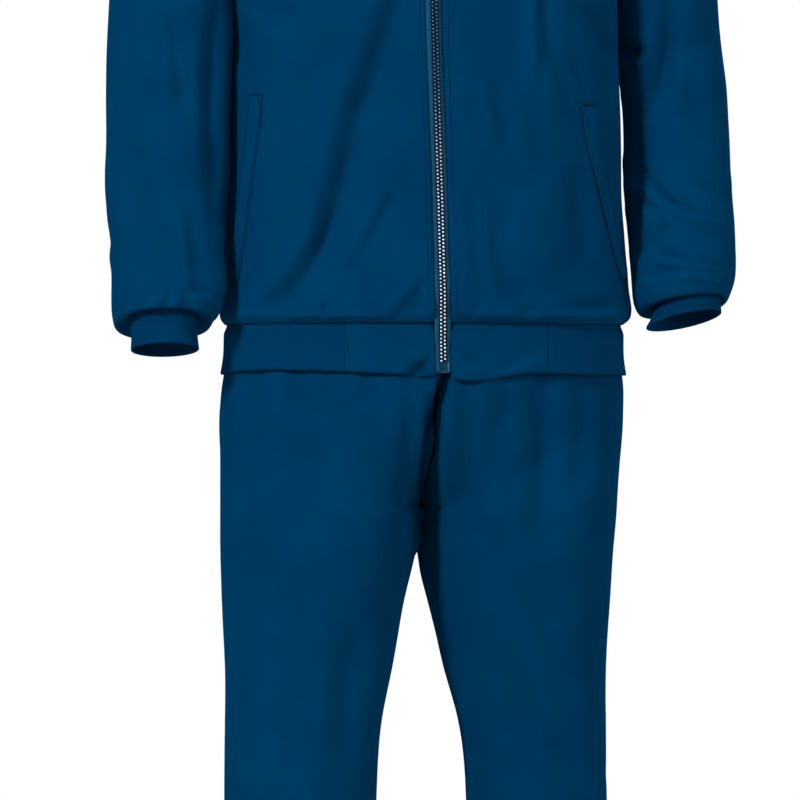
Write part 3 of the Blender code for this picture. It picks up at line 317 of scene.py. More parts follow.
def make_twill_group():
    """The slanting rows of a woven tape."""
    group, start, end = new_group(
        "tape_twill",
        [("Place", "NodeSocketVector", None), ("Pitch", "NodeSocketFloat", TWILL_PITCH)],
        [("Height", "NodeSocketFloat")],
    )
    split = split_node(group, start.outputs["Place"])
    side = hump_node(group, split[0], TWILL_TURN)
    slant = math_node(group, "ADD", split[1], math_node(group, "MULTIPLY", side, TWILL_LEAN))
    turn = math_node(group, "DIVIDE", slant, start.outputs["Pitch"])
    wave = wave_node(group, "SINE", turn, WHOLE_TURN)
    group.links.new(math_node(group, "ADD", math_node(group, "MULTIPLY", wave, 0.5), 0.5),
                    end.inputs["Height"])
    return group


knit_group = make_knit_group()
rib_group = make_rib_group()
mottle_group = make_mottle_group()
twill_group = make_twill_group()
print("node groups:", len(bpy.data.node_groups))

# %% [markdown]
# The cloth is one dyed polyester, so all finishes share a hue. It takes light softly, with a
# faint sheen along the edges of folds that is tinted by the dye, and no shine of its own: a
# shine would turn the edges of such a dark cloth grey. Colours are given as the light they
# send back, which is why they look small.


# %% Finishes
class Finish:
    """A material under way: its shader, and the nodes that feed it."""

    def __init__(self, name):
        self.material = bpy.data.materials.new(name)
        self.material.use_nodes = True
        self.tree = self.material.node_tree
        self.shader = self.tree.nodes["Principled BSDF"]
        coordinates = self.tree.nodes.new("ShaderNodeTexCoord")
        self.object_place = coordinates.outputs["Object"]
        cut = self.tree.nodes.new("ShaderNodeUVMap")
        cut.uv_map = "cut"
        self.cut_place = cut.outputs[0]

    def group(self, group, place, **values):
        node = self.tree.nodes.new("ShaderNodeGroup")
        node.node_tree = group
        self.tree.links.new(place, node.inputs["Place"])
        for name, value in values.items():
            node.inputs[name].default_value = value
        return node

    def mottle(self, scale):
        return self.group(mottle_group, self.object_place, Scale=scale).outputs["Tone"]

    def set(self, **values):
        for name, value in values.items():
            self.shader.inputs[name.replace("_", " ")].default_value = value

    def colour(self, fac, dark, light):
        mix = self.tree.nodes.new("ShaderNodeMix")
        mix.data_type = "RGBA"
        self.tree.links.new(fac, mix.inputs["Factor"])
        mix.inputs["A"].default_value = (*dark, 1.0)
        mix.inputs["B"].default_value = (*light, 1.0)
        self.tree.links.new(mix.outputs["Result"], self.shader.inputs["Base Color"])

    def roughness(self, fac, low, high):
        rough = range_node(self.tree, fac, To_Min=low, To_Max=high)
        self.tree.links.new(rough, self.shader.inputs["Roughness"])

    def bump(self, height, distance, strength):
        node = self.tree.nodes.new("ShaderNodeBump")
        node.inputs["Distance"].default_value = distance
        node.inputs["Strength"].default_value = strength
        self.tree.links.new(height, node.inputs["Height"])
        self.tree.links.new(node.outputs[0], self.shader.inputs["Normal"])


CLOTH_DARK = (0.0, 0.0295, 0.0840)
CLOTH_LIGHT = (0.0, 0.0365, 0.0985)
# The rib's own dye, with its valleys painted darker: painted shade between the columns.
RIB_VALLEY_SHADE = (0.0, 0.0240, 0.0720)
RIB_LIGHT = (0.0005, 0.0330, 0.0940)
# The tape's own lighter blue, split into painted shade in the twill's grooves and painted light on its
# raised rows.
TAPE_GROOVE_SHADE = (0.0, 0.0420, 0.1000)
TAPE_RIDGE_LIGHT = (0.0, 0.0850, 0.1850)
THREAD_DARK = (0.0, 0.0040, 0.0170)
THREAD_LIGHT = (0.0, 0.0120, 0.0400)
# The teeth's heads carry a painted highlight: a nearly white colour that is mixed in more the lower a
# tooth sits, between the two heights below.
TOOTH_DARK = (0.0350, 0.1150, 0.1900)
TOOTH_HIGHLIGHT = (0.8500, 0.9000, 0.9400)
TOOTH_DULL_Z = -0.38
TOOTH_HIGHLIGHT_Z = -0.56
TOOTH_LEAST = 0.35       # added to the mottle, so that no tooth in the painted highlight stays dull
# Painted shade: near-black blocks under the teeth stand for the shade between them.
GAP_SHADE_DARK = (0.0, 0.0040, 0.0200)
GAP_SHADE_LIGHT = (0.0, 0.0120, 0.0450)
METAL_DARK = (0.0050, 0.0800, 0.1700)
METAL_LIGHT = (0.0400, 0.1700, 0.2900)
SHEEN_TINT = (0.0, 0.14, 0.36, 1.0)
SHINE_TINT = (0.05, 0.45, 0.85, 1.0)


def knit_finish(name, dark, light):
    finish = Finish(name)
    mottle = finish.mottle(16.0)
    knit = finish.group(knit_group, finish.cut_place, Across=KNIT_ACROSS, Along=KNIT_ALONG)
    finish.colour(mottle, dark, light)
    finish.roughness(mottle, 0.62, 0.52)
    finish.bump(knit.outputs["Height"], 0.00012, 0.5)
    finish.set(Sheen_Weight=0.25, Sheen_Roughness=0.45, Sheen_Tint=SHEEN_TINT)
    finish.set(Specular_IOR_Level=0.0)
    return finish.material


def rib_finish():
    finish = Finish("rib_knit")
    rib = finish.group(rib_group, finish.cut_place, Pitch=RIB_PITCH)
    # painted shade: darker in the rib's valleys, lighter on the round columns
    finish.colour(rib.outputs["Valley"], RIB_LIGHT, RIB_VALLEY_SHADE)
    finish.roughness(rib.outputs["Valley"], 0.66, 0.85)
    finish.bump(rib.outputs["Height"], 0.00045, 0.8)
    finish.set(Sheen_Weight=0.25, Sheen_Roughness=0.5, Sheen_Tint=SHEEN_TINT)
    finish.set(Specular_IOR_Level=0.0)
    return finish.material


def tape_finish():
    finish = Finish("zip_tape")
    twill = finish.group(twill_group, finish.cut_place, Pitch=TWILL_PITCH)
    # painted shade in the twill's grooves and painted light on its raised rows
    finish.colour(twill.outputs["Height"], TAPE_GROOVE_SHADE, TAPE_RIDGE_LIGHT)
    finish.bump(twill.outputs["Height"], 0.0002, 0.8)
    finish.set(Roughness=0.7, Specular_IOR_Level=0.25)
    return finish.material


def thread_finish():
    finish = Finish("sewing_thread")
    mottle = finish.mottle(900.0)
    finish.colour(mottle, THREAD_DARK, THREAD_LIGHT)
    finish.bump(mottle, 0.0001, 0.6)
    finish.set(Roughness=0.6, Specular_IOR_Level=0.08, Specular_Tint=SHINE_TINT)
    return finish.material


def gap_shade_finish():
    """Painted shade: the near-black that stands for the shade between the teeth's heads."""
    finish = Finish("zip_gap_shade")
    mottle = finish.mottle(300.0)
    finish.colour(mottle, GAP_SHADE_DARK, GAP_SHADE_LIGHT)
    finish.set(Roughness=0.45, Specular_IOR_Level=0.2, Specular_Tint=SHINE_TINT)
    return finish.material


def tooth_finish():
    """The teeth's faces: a silvery painted highlight below, growing towards the bottom, dull above."""
    finish = Finish("zip_teeth")
    mottle = finish.mottle(60.0)
    height = split_node(finish.tree, finish.object_place)[2]
    # painted highlight: none above the upper height, full below the lower one
    painted_highlight = range_node(finish.tree, height, From_Min=TOOTH_DULL_Z, From_Max=TOOTH_HIGHLIGHT_Z)
    uneven = math_node(finish.tree, "ADD", mottle, TOOTH_LEAST)
    highlight_share = math_node(finish.tree, "MULTIPLY", painted_highlight, uneven, clamp=True)
    finish.colour(highlight_share, TOOTH_DARK, TOOTH_HIGHLIGHT)
    finish.roughness(mottle, 0.30, 0.18)
    finish.set(Metallic=0.5, Specular_IOR_Level=0.6)
    return finish.material


def metal_finish():
    finish = Finish("zip_metal")
    mottle = finish.mottle(260.0)
    finish.colour(mottle, METAL_DARK, METAL_LIGHT)
    finish.roughness(mottle, 0.24, 0.38)
    finish.bump(mottle, 0.00003, 0.4)
    finish.set(Metallic=1.0)
    return finish.material


FINISHES = {
    "cloth": knit_finish("polyester_knit", CLOTH_DARK, CLOTH_LIGHT),
    "rib": rib_finish(),
    "tape": tape_finish(),
    "thread": thread_finish(),
    "tooth": tooth_finish(),
    "gap_shade": gap_shade_finish(),
    "metal": metal_finish(),
}
print("finishes:", ", ".join(FINISHES))

# %% [markdown]
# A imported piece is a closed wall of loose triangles. Its outside is what the sewer sees, so
# the wall's rim and inside come off, the triangles are paired back into the four-sided grid
# that cloth likes, and a subdivision surface rounds it. Subdivision pulls a shape inwards, so
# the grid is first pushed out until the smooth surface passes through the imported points.

# %% From a packed wall to one smooth sheet
MERGE = 0.00002
RIM_SHARE = 1.4          # an edge shorter than this many walls belongs to the rim
CORNER = math.radians(28)
PAIR_ANGLE = math.radians(80)
PUSH_ROUNDS = 5


def flat_islands(bm):
    """The connected groups of faces."""
    left = set(bm.faces)
    islands = []
    while left:
        group = [left.pop()]
        for face in group:
            for edge in face.edges:
                for other in edge.link_faces:
                    if other in left:
                        left.remove(other)
                        group.append(other)
        islands.append(group)
    return islands


def outer_sheet(node, wall):
    """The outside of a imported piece, as a four-sided grid."""
    bm = bmesh.new()
    bm.from_mesh(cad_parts[node].data)
    bmesh.ops.remove_doubles(bm, verts=bm.verts[:], dist=MERGE)
    short = RIM_SHARE * wall
    rim = [face for face in bm.faces if min(edge.calc_length() for edge in face.edges) < short]
    bmesh.ops.delete(bm, geom=rim, context="FACES")
    islands = flat_islands(bm)
    islands.sort(key=lambda group: sum(face.calc_area() for face in group))
    inside = [face for group in islands[:-1] for face in group]
    bmesh.ops.delete(bm, geom=inside, context="FACES")
    bmesh.ops.join_triangles(
        bm, faces=bm.faces[:], angle_face_threshold=PAIR_ANGLE,
        angle_shape_threshold=math.pi, topology_influence=1.0,
    )
    keep_corners(bm)
    return bm


def keep_corners(bm):
    """Where the cut turns sharply, the smooth edge keeps its corner."""
    crease = bm.verts.layers.float.new("crease_vert")
    for vert in bm.verts:
        ends = [edge.other_vert(vert).co for edge in vert.link_edges if edge.is_boundary]
        if len(ends) != 2:
            continue
        turn = (vert.co - ends[0]).angle(ends[1] - vert.co)
        if turn > CORNER:
            vert[crease] = 1.0


def read_points(mesh):
    points = np.empty(len(mesh.vertices) * 3, np.float32)
    mesh.vertices.foreach_get("co", points)
    return points.reshape(-1, 3).astype(float)


def write_points(mesh, points):
    mesh.vertices.foreach_set("co", points.astype(np.float32).ravel())
    mesh.update()


def smooth_sheet(name, bm, levels):
    """A fine mesh through the grid's own points."""
    cage = made_mesh(name, bm)
    item = add_item(name, cage)
    smooth = item.modifiers.new("smooth", "SUBSURF")
    smooth.boundary_smooth = "PRESERVE_CORNERS"
    smooth.levels = 1
    smooth.render_levels = 1
    target = read_points(cage)
    for _ in range(PUSH_ROUNDS):
        graph = bpy.context.evaluated_depsgraph_get()
        now = read_points(item.evaluated_get(graph).to_mesh())[:len(target)]
        write_points(cage, read_points(cage) + target - now)
    smooth.levels = levels
    smooth.render_levels = levels
    graph = bpy.context.evaluated_depsgraph_get()
    fine = bpy.data.meshes.new_from_object(item.evaluated_get(graph))
    bpy.data.objects.remove(item)
    return fine


# %% [markdown]
# Every fold belongs to a tube of cloth: the body, a sleeve or a leg. A fold moves the cloth
# straight away from the tube's middle line, and both panels of a seam read the same rule, so
# the seam stays closed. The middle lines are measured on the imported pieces. One fold lies on
# the seam between the two legs: there both legs move straight back, so they stay together.

# %% The tubes and their middle lines
SLICES = 24
CAP_Z = -0.25            # above this the sleeve's top rounds over like a ball
SHOULDER_Z = -0.16       # above this the body's cloth turns upwards
NECK_Z = -0.02           # and here they are turned as far as they go
SHOULDER_TURN = 12.0
LEAST_POINTS = 6         # a slice with no more points than this has no middle
BODY_WIDE = 0.197
BODY_DEEP = 0.118
BODY_SQUARE = 2.4


def ramp(value, start, end):
    """A smooth step from 0 at start to 1 at end."""
    t = np.clip((value - start) / (end - start), 0.0, 1.0)
    return t * t * (3.0 - 2.0 * t)


def middle_line(nodes):
    """The middle of each slice of a tube: heights, across and front to back."""
    points = np.concatenate([read_points(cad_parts[node].data) for node in nodes])
    low, high = points[:, 2].min(), points[:, 2].max()
    edges = np.linspace(low, high, SLICES + 1)
    rows = []
    for a, b in zip(edges, edges[1:]):
        part = points[(points[:, 2] >= a) & (points[:, 2] <= b)]
        if len(part) > LEAST_POINTS:
            rows.append(((a + b) / 2, *((part.min(0) + part.max(0)) / 2)[:2]))
    return np.array(rows)


TUBE_PIECES = {
    "sleeve": ["jacket_sleeve_"], "leg": ["trouser_front_", "trouser_back_"],
    "cuff": ["jacket_cuff_"],
}
TUBES = {
    f"{kind}_{side}": middle_line([start + side for start in starts])
    for kind, starts in TUBE_PIECES.items() for side in SIDES
}


def tube_middle(tube, points):
    rows = TUBES[tube]
    height = points[:, 2]
    if tube.startswith("sleeve"):
        height = np.minimum(height, CAP_Z)
    x = np.interp(height, rows[:, 0], rows[:, 1])
    y = np.interp(height, rows[:, 0], rows[:, 2])
    return np.stack([x, y, np.minimum(points[:, 2], height)], axis=1)


def outward(tube, points):
    """The direction away from the tube's middle line."""
    if tube == "body":
        x, y, z = points.T
        power = BODY_SQUARE - 1.0
        side = np.sign(x) * (np.abs(x) / BODY_WIDE) ** power / BODY_WIDE
        front = np.sign(y) * (np.abs(y) / BODY_DEEP) ** power / BODY_DEEP
        up = SHOULDER_TURN * ramp(z, SHOULDER_Z, NECK_Z)
        away = np.stack([side, front, up], axis=1)
    else:
        away = points - tube_middle(tube, points)
    return away / np.maximum(np.linalg.norm(away, axis=1), 1e-9)[:, None]


print("middle lines:", {name: len(rows) for name, rows in TUBES.items()})

# %% [markdown]
# Folds are strokes, as a hand would sketch them on the picture: a start, a point it bends
# through, an end, how wide and deep it is, and the ridge that the cloth it swallowed makes
# beside it. Places are millimetres in the picture, across and down. The back has strokes of
# its own, written as they would be seen through the front.

# %% Strokes on the jacket and the trousers
Stroke = namedtuple("Stroke", "a0 d0 a1 d1 a2 d2 wide deep ridge start", defaults=(0.0, 0.0))


def stroke_table(*rows):
    """A row for each stroke. Its ridge and the strength at its start are 0 where not given."""
    return [Stroke(*row) for row in rows]


JACKET_FRONT = stroke_table(
    (410, -40, 380, 60, 356, 120, 14, 4.6, 1.5),
    (364, 80, 346, 165, 318, 262, 13, 5.4, 2.2),
    (334, 200, 308, 268, 256, 318, 9, 4.5, 2.5),
    (402, 185, 374, 233, 342, 292, 7, 1.6, 0.8),
    (430, 272, 412, 302, 390, 321, 6, 2.4, 1.2),
    (428, 292, 418, 308, 408, 322, 5, 1.8, 0.8),
    (345, 20, 320, 75, 292, 125, 16, 2.0, 0.8),
    (300, 60, 290, 140, 286, 210, 16, 1.6, 0.8),
    (246, 55, 248, 75, 246, 95, 5, 1.4, 0.8),
    (385, 130, 372, 200, 350, 262, 18, -2.0),
    (266, 130, 262, 200, 256, 270, 12, -1.6),
    (532, -60, 532, 30, 531, 100, 8, -3.0),
    (546, -40, 548, 20, 546, 80, 10, 2.6),
    (475, 80, 488, 110, 494, 146, 7, -1.6, -0.8),
    (502, 84, 520, 120, 528, 178, 8, -1.8, -0.8),
    (472, 185, 478, 250, 487, 306, 9, 2.0, 0.8),
    (494, 205, 508, 275, 546, 318, 12, 3.4, 1.4),
    (548, 32, 560, 70, 578, 106, 9, 1.8, 1.0),
    (572, 60, 582, 82, 590, 100, 6, 1.4, 0.6),
    (572, 165, 580, 210, 592, 262, 12, 2.4, 0.8),
    (520, 190, 540, 235, 560, 292, 16, -2.2),
    (560, 300, 592, 308, 626, 300, 9, 2.2, 1.4),
    (604, 140, 616, 210, 622, 270, 8, 2.4),
    (590, 10, 600, 40, 614, 60, 8, 2.4, 1.2),
    (320, 322, 324, 312, 330, 298, 5, 1.6, 0.8, 0.6),
    (280, 322, 284, 314, 292, 304, 6, 1.4, 0.8, 0.6),
    (472, 324, 476, 312, 484, 296, 5, 1.2, 0.6, 0.6),
    (520, 325, 526, 316, 536, 306, 6, 1.6, 0.8, 0.6),
    (231, -60, 230, 80, 226, 220, 6, -0.9, 0.0, 0.6),
    (236, 315, 330, 317, 432, 315, 5, -1.3, 0.0, 0.6),
    (456, 316, 540, 317, 620, 318, 5, -1.3, 0.0, 0.6),
    (300, -180, 310, -120, 330, -60, 16, 3.0, 1.0),
    (560, -180, 545, -120, 520, -60, 16, 3.0, 1.0),
    (250, -90, 275, -50, 312, -20, 14, 4.0, 1.5),
    (608, -90, 588, -50, 560, -14, 14, 4.0, 1.5),
    (240, -40, 262, 0, 300, 30, 12, 3.0, 1.2),
    (400, -175, 380, -150, 350, -140, 9, 1.6, 0.6),
    (474, -175, 496, -150, 520, -142, 9, 1.6, 0.6),
)
JACKET_BACK = stroke_table(
    (424, -230, 430, -120, 420, 10, 22, 3.0, 1.0),
    (250, -100, 290, -20, 330, 30, 16, 5.0, 2.0),
    (600, -100, 566, -20, 524, 40, 16, 5.0, 2.0),
    (240, -30, 280, 50, 330, 90, 13, 3.6, 1.4),
    (610, -30, 572, 60, 520, 104, 13, 3.6, 1.4),
    (350, -20, 372, 90, 350, 190, 18, 3.0, 1.0),
    (500, -10, 482, 90, 500, 170, 18, 3.0, 1.0),
    (300, 130, 350, 190, 430, 210, 14, 4.0, 1.8),
    (560, 150, 500, 214, 420, 240, 14, 4.0, 1.8),
    (250, 210, 300, 260, 390, 272, 12, 3.6, 1.6),
    (610, 230, 560, 280, 480, 290, 12, 3.4, 1.6),
    (300, 322, 310, 300, 330, 282, 7, 2.2, 1.0, 0.6),
    (360, 322, 366, 306, 380, 296, 6, 1.8, 0.8, 0.6),
    (430, 322, 426, 304, 414, 290, 6, 1.8, 0.8, 0.6),
    (500, 322, 494, 300, 476, 284, 7, 2.2, 1.0, 0.6),
    (560, 322, 556, 306, 546, 296, 6, 1.8, 0.8, 0.6),
)
SLEEVES_FRONT = stroke_table(
    (146, -60, 158, 30, 168, 90, 9, 2.6, 1.2),
    (166, -30, 176, 50, 186, 112, 8, 2.6, 1.2),
    (126, 120, 144, 210, 196, 300, 14, 4.0, 2.0),
    (230, -60, 229, 80, 224, 240, 5, -1.2, 0.0, 0.6),
    (219, -20, 212, 100, 217, 240, 8, 4.8, 0.0, 0.6),
    (221, 235, 219, 292, 215, 322, 8, -2.9, 0.0, 0.4),
    (190, 200, 198, 260, 200, 300, 9, 2.0, 1.0),
    (122, 150, 124, 210, 134, 290, 8, -1.6),
    (136, 316, 146, 300, 160, 286, 6, 1.8, 1.0, 0.5),
    (164, 314, 168, 300, 176, 290, 5, 1.6, 0.8, 0.5),
    (194, 316, 190, 302, 180, 288, 6, 1.8, 1.0, 0.5),
    (212, 300, 200, 290, 188, 286, 6, 1.8, 0.8, 0.5),
    (668, -40, 666, 50, 640, 120, 10, 5.0, 2.0),
    (676, 0, 680, 80, 677, 150, 8, -1.8),
    (629, 60, 634, 170, 634, 290, 8, 4.5, 0.0, 0.5),
    (642, 170, 672, 203, 724, 218, 4.5, 3.0, 2.2, 0.6),
    (640, 182, 662, 204, 684, 226, 4, 2.2, 1.6, 0.6),
    (642, 196, 652, 206, 664, 218, 6, 3.4, 1.2, 0.5),
    (642, 250, 656, 238, 672, 220, 8, 3.4, 1.2, 0.5),
    (650, 257, 670, 256, 700, 270, 4, 1.8, 1.2, 0.3),
    (652, 276, 690, 270, 728, 280, 4, 2.0, 1.6, 0.3),
    (690, 262, 710, 264, 734, 276, 4, 1.4, 1.0),
    (700, 180, 716, 196, 732, 204, 7, 1.6, 0.8),
    (616, 44, 628, 50, 646, 50, 7, 4.5, 1.5, 0.6),
    (621, 92, 624, 130, 627, 185, 8, 1.7, 0.0, 0.3),
)
SLEEVES_BACK = stroke_table(
    (228, -60, 190, -20, 150, 10, 12, 4.0, 2.0),
    (228, 40, 190, 70, 150, 80, 12, 3.4, 1.6),
    (110, 150, 150, 170, 210, 165, 10, 4.0, 2.2),
    (112, 196, 150, 210, 212, 200, 9, 4.0, 2.2),
    (116, 236, 150, 254, 208, 240, 9, 3.6, 2.0),
    (624, -60, 664, -20, 704, 10, 12, 4.0, 2.0),
    (626, 30, 664, 64, 706, 76, 12, 3.4, 1.6),
    (630, 140, 676, 164, 728, 160, 10, 4.0, 2.2),
    (634, 190, 676, 204, 730, 196, 9, 4.0, 2.2),
    (640, 232, 680, 246, 730, 236, 9, 3.6, 2.0),
    (621, 92, 624, 130, 627, 185, 8, 1.7, 0.0, 0.3),
)
TROUSERS_FRONT = stroke_table(
    (296, 368, 297, 396, 292, 430, 10, 2.4, 1.0, 0.8),
    (366, 370, 368, 388, 362, 410, 10, 1.8, 0.8, 0.8),
    (330, 370, 330, 384, 326, 400, 7, 1.0, 0.5, 0.8),
    (254, 370, 252, 400, 250, 450, 12, 2.4, 0.8, 0.8),
    (414, 378, 416, 440, 408, 540, 12, 3.0, 0.8, 0.4),
    (470, 374, 464, 430, 468, 520, 10, 2.8, 1.0, 0.6),
    (486, 376, 484, 430, 486, 520, 7, -1.8, 0.0, 0.6),
    (506, 376, 508, 400, 504, 430, 7, 1.4, 0.6, 0.8),
    (543, 374, 546, 450, 540, 560, 14, 3.6, 1.2, 0.6),
    (580, 372, 584, 420, 578, 500, 11, 1.6, 0.6, 0.8),
    (476, 520, 500, 560, 520, 640, 14, 2.0, 0.8),
    (480, 596, 490, 606, 488, 616, 4, 1.0, 0.5),
    (330, 470, 340, 560, 330, 660, 26, -2.0),
    (284, 640, 290, 720, 276, 820, 18, 2.2, 0.8),
    (360, 620, 350, 700, 352, 800, 16, 2.4, 0.8),
    (320, 700, 316, 780, 322, 880, 14, -1.8),
    (500, 640, 520, 720, 512, 820, 18, 3.0, 1.0),
    (548, 740, 570, 760, 600, 790, 14, 3.0, 1.4),
    (540, 600, 556, 660, 590, 720, 16, 2.0, 0.8),
    (470, 830, 510, 860, 560, 850, 14, 3.6, 1.6),
    (480, 890, 530, 910, 590, 896, 13, 3.2, 1.4),
    (380, 820, 340, 850, 280, 846, 14, 3.6, 1.6),
    (372, 880, 330, 900, 262, 890, 13, 3.2, 1.4),
    (300, 940, 310, 1030, 300, 1130, 16, 2.6, 1.0),
    (540, 950, 530, 1040, 540, 1130, 16, 2.6, 1.0),
    (250, 1160, 300, 1176, 360, 1160, 12, 3.0, 1.6),
    (490, 1170, 540, 1184, 600, 1168, 12, 3.0, 1.6),
    (262, 1204, 310, 1214, 352, 1200, 10, 2.4, 1.2),
    (500, 1210, 550, 1218, 594, 1204, 10, 2.4, 1.2),
)
TROUSERS_BACK = stroke_table(
    (300, 372, 306, 400, 300, 440, 10, 2.4, 1.0, 0.8),
    (360, 372, 356, 404, 366, 450, 10, 2.4, 1.0, 0.8),
    (490, 372, 494, 404, 486, 450, 10, 2.4, 1.0, 0.8),
    (550, 372, 546, 400, 552, 440, 10, 2.4, 1.0, 0.8),
    (410, 520, 360, 548, 290, 552, 14, 5.0, 2.2, 0.4),
    (440, 520, 490, 548, 560, 552, 14, 5.0, 2.2, 0.4),
    (404, 556, 350, 588, 280, 590, 13, 4.0, 1.8, 0.4),
    (446, 556, 500, 588, 570, 592, 13, 4.0, 1.8, 0.4),
    (310, 620, 330, 700, 320, 790, 20, 2.6, 1.0),
    (540, 620, 520, 700, 530, 790, 20, 2.6, 1.0),
    (370, 800, 320, 826, 250, 816, 14, 4.6, 2.0),
    (480, 800, 530, 826, 600, 816, 14, 4.6, 2.0),
    (372, 846, 320, 868, 250, 862, 12, 4.0, 1.8),
    (480, 850, 530, 872, 600, 866, 12, 4.0, 1.8),
    (310, 920, 300, 1010, 312, 1100, 16, 2.6, 1.0),
    (540, 920, 550, 1010, 538, 1100, 16, 2.6, 1.0),
    (250, 1150, 300, 1168, 360, 1156, 12, 3.4, 1.8),
    (490, 1156, 540, 1172, 600, 1160, 12, 3.4, 1.8),
)
RISE_FRONT = stroke_table(
    (447, 372, 442, 398, 436, 440, 4, 16.0, 0.0, 1.0),
    (437, 400, 433, 470, 428, 590, 7, 20.0, 0.0, 0.3),
    (434, 450, 429, 510, 430, 600, 10, 10.0, 0.0, 0.3),
)
WELT_EDGES = stroke_table(
    (247, 99, 241, 190, 225, 283, 6, -1.1, 0.0, 1.0),
    (594, 108, 606, 190, 626, 292, 6, -1.1, 0.0, 1.0),
)
BAND_FRONT = stroke_table(
    (409, 380, 420, 368, 438, 356, 5, 4.0, 1.2, 0.9),
    (438, 380, 428, 372, 414, 368, 5, 3.0, 1.0, 0.9),
    (350, 334, 352, 344, 350, 352, 6, 0.8, 0.4),
    (500, 366, 520, 358, 540, 350, 7, 1.4, 0.8),
    (462, 366, 474, 360, 492, 362, 6, 1.4, 0.8),
)
BAND_BACK = stroke_table(
    (300, 330, 306, 350, 302, 370, 8, 1.6, 0.8, 0.6),
    (420, 330, 424, 350, 418, 370, 8, 1.6, 0.8, 0.6),
    (540, 330, 536, 350, 542, 370, 8, 1.6, 0.8, 0.6),
)
NO_STROKES = []
TABLES = (JACKET_FRONT, JACKET_BACK, SLEEVES_FRONT, SLEEVES_BACK, TROUSERS_FRONT, TROUSERS_BACK,
          RISE_FRONT, WELT_EDGES, BAND_FRONT, BAND_BACK)
print("strokes:", sum(len(table) for table in TABLES))

# %% [markdown]
# A stroke is a soft curve through its three places, cut into short runs. Each point of the
# cloth looks for its nearest run: close by it sinks into the trough, and beside that, on one
# side, it rises with the ridge. The stroke fades out at its ends, or only at its far end where
# it starts in a seam. Besides the strokes, all cloth has a slow ripple of its own.

# %% Laying the strokes on the cloth
STROKE_STEPS = 10
STROKE_DEPTH = 2.15
RIDGE_PLACE = 1.7        # how many widths the ridge lies beside the trough
RIDGE_WIDE = 1.1
SOFT = 2                 # the power that rounds a trough's sides
STEEP = 4
STROKE_REACH = 4.0       # how many widths away a stroke is still felt
FADE_POWER = 0.8
START_POWER = 0.6
FAR_AWAY = 1e9
MILLIMETRE = 0.001


def stroke_relief(strokes, across, down, steep=SOFT):
    """How far each place moves out, in millimetres."""
    relief = np.zeros(len(across))
    for s in strokes:
        reach = STROKE_REACH * s.wide
        near = (across > min(s.a0, s.a1, s.a2) - reach) & (across < max(s.a0, s.a1, s.a2) + reach)
        near &= (down > min(s.d0, s.d1, s.d2) - reach) & (down < max(s.d0, s.d1, s.d2) + reach)
        if not near.any():
            continue
        t = np.linspace(0.0, 1.0, STROKE_STEPS + 1)
        bend_a = 2 * s.a1 - (s.a0 + s.a2) / 2
        bend_d = 2 * s.d1 - (s.d0 + s.d2) / 2
        path_a = (1 - t) ** 2 * s.a0 + 2 * t * (1 - t) * bend_a + t * t * s.a2
        path_d = (1 - t) ** 2 * s.d0 + 2 * t * (1 - t) * bend_d + t * t * s.d2
        a, d = across[near], down[near]
        best = np.full(len(a), FAR_AWAY)
        side = np.zeros(len(a))
        where = np.zeros(len(a))
        for i in range(STROKE_STEPS):
            run_a, run_d = path_a[i + 1] - path_a[i], path_d[i + 1] - path_d[i]
            length = math.hypot(run_a, run_d)
            off_a, off_d = a - path_a[i], d - path_d[i]
            along = np.clip((off_a * run_a + off_d * run_d) / length ** 2, 0.0, 1.0)
            gap = np.hypot(off_a - along * run_a, off_d - along * run_d)
            closer = gap < best
            best = np.where(closer, gap, best)
            side = np.where(closer, np.sign(run_a * off_d - run_d * off_a), side)
            where = np.where(closer, (i + along) / STROKE_STEPS, where)
        fade = np.sin(math.pi * np.clip(where, 0.0, 1.0)) ** FADE_POWER
        fade = np.maximum(fade, s.start * (1.0 - where) ** START_POWER)
        trough = np.exp(-(best / s.wide) ** steep)
        ridge = np.exp(-((side * best - RIDGE_PLACE * s.wide) / (RIDGE_WIDE * s.wide)) ** 2)
        relief[near] += STROKE_DEPTH * fade * (s.ridge * ridge - s.deep * trough)
    return relief


Ripple = namedtuple("Ripple", "x y z turn size")
RIPPLES = {
    "body": [Ripple(31, 12, 9, 0.4, 0.45), Ripple(-17, 23, 21, 1.9, 0.4), Ripple(52, 9, -14, 3.1, 0.25)],
    "sleeve": [Ripple(40, 31, 12, 0.9, 0.4), Ripple(-22, 44, 33, 2.2, 0.3)],
    "leg": [Ripple(48, 37, 5, 0.2, 0.5), Ripple(-33, 52, 9, 1.4, 0.4), Ripple(70, -20, 14, 2.6, 0.25)],
    "cuff": [Ripple(60, 40, 10, 0.2, 0.25)],
}


def ripple_relief(tube, points):
    """The slow unevenness of cloth that hangs by itself, in millimetres."""
    relief = np.zeros(len(points))
    for kind, rows in RIPPLES.items():
        if tube.startswith(kind):
            for row in rows:
                phase = points @ np.array([row.x, row.y, row.z]) + row.turn
                relief += row.size * np.sin(phase)
    return relief


# %% [markdown]
# Where two tubes are sewn together, or cloth is sewn to the zip, the folds have to die out,
# or the seam would open. So each piece keeps still near such a seam, over a set distance.

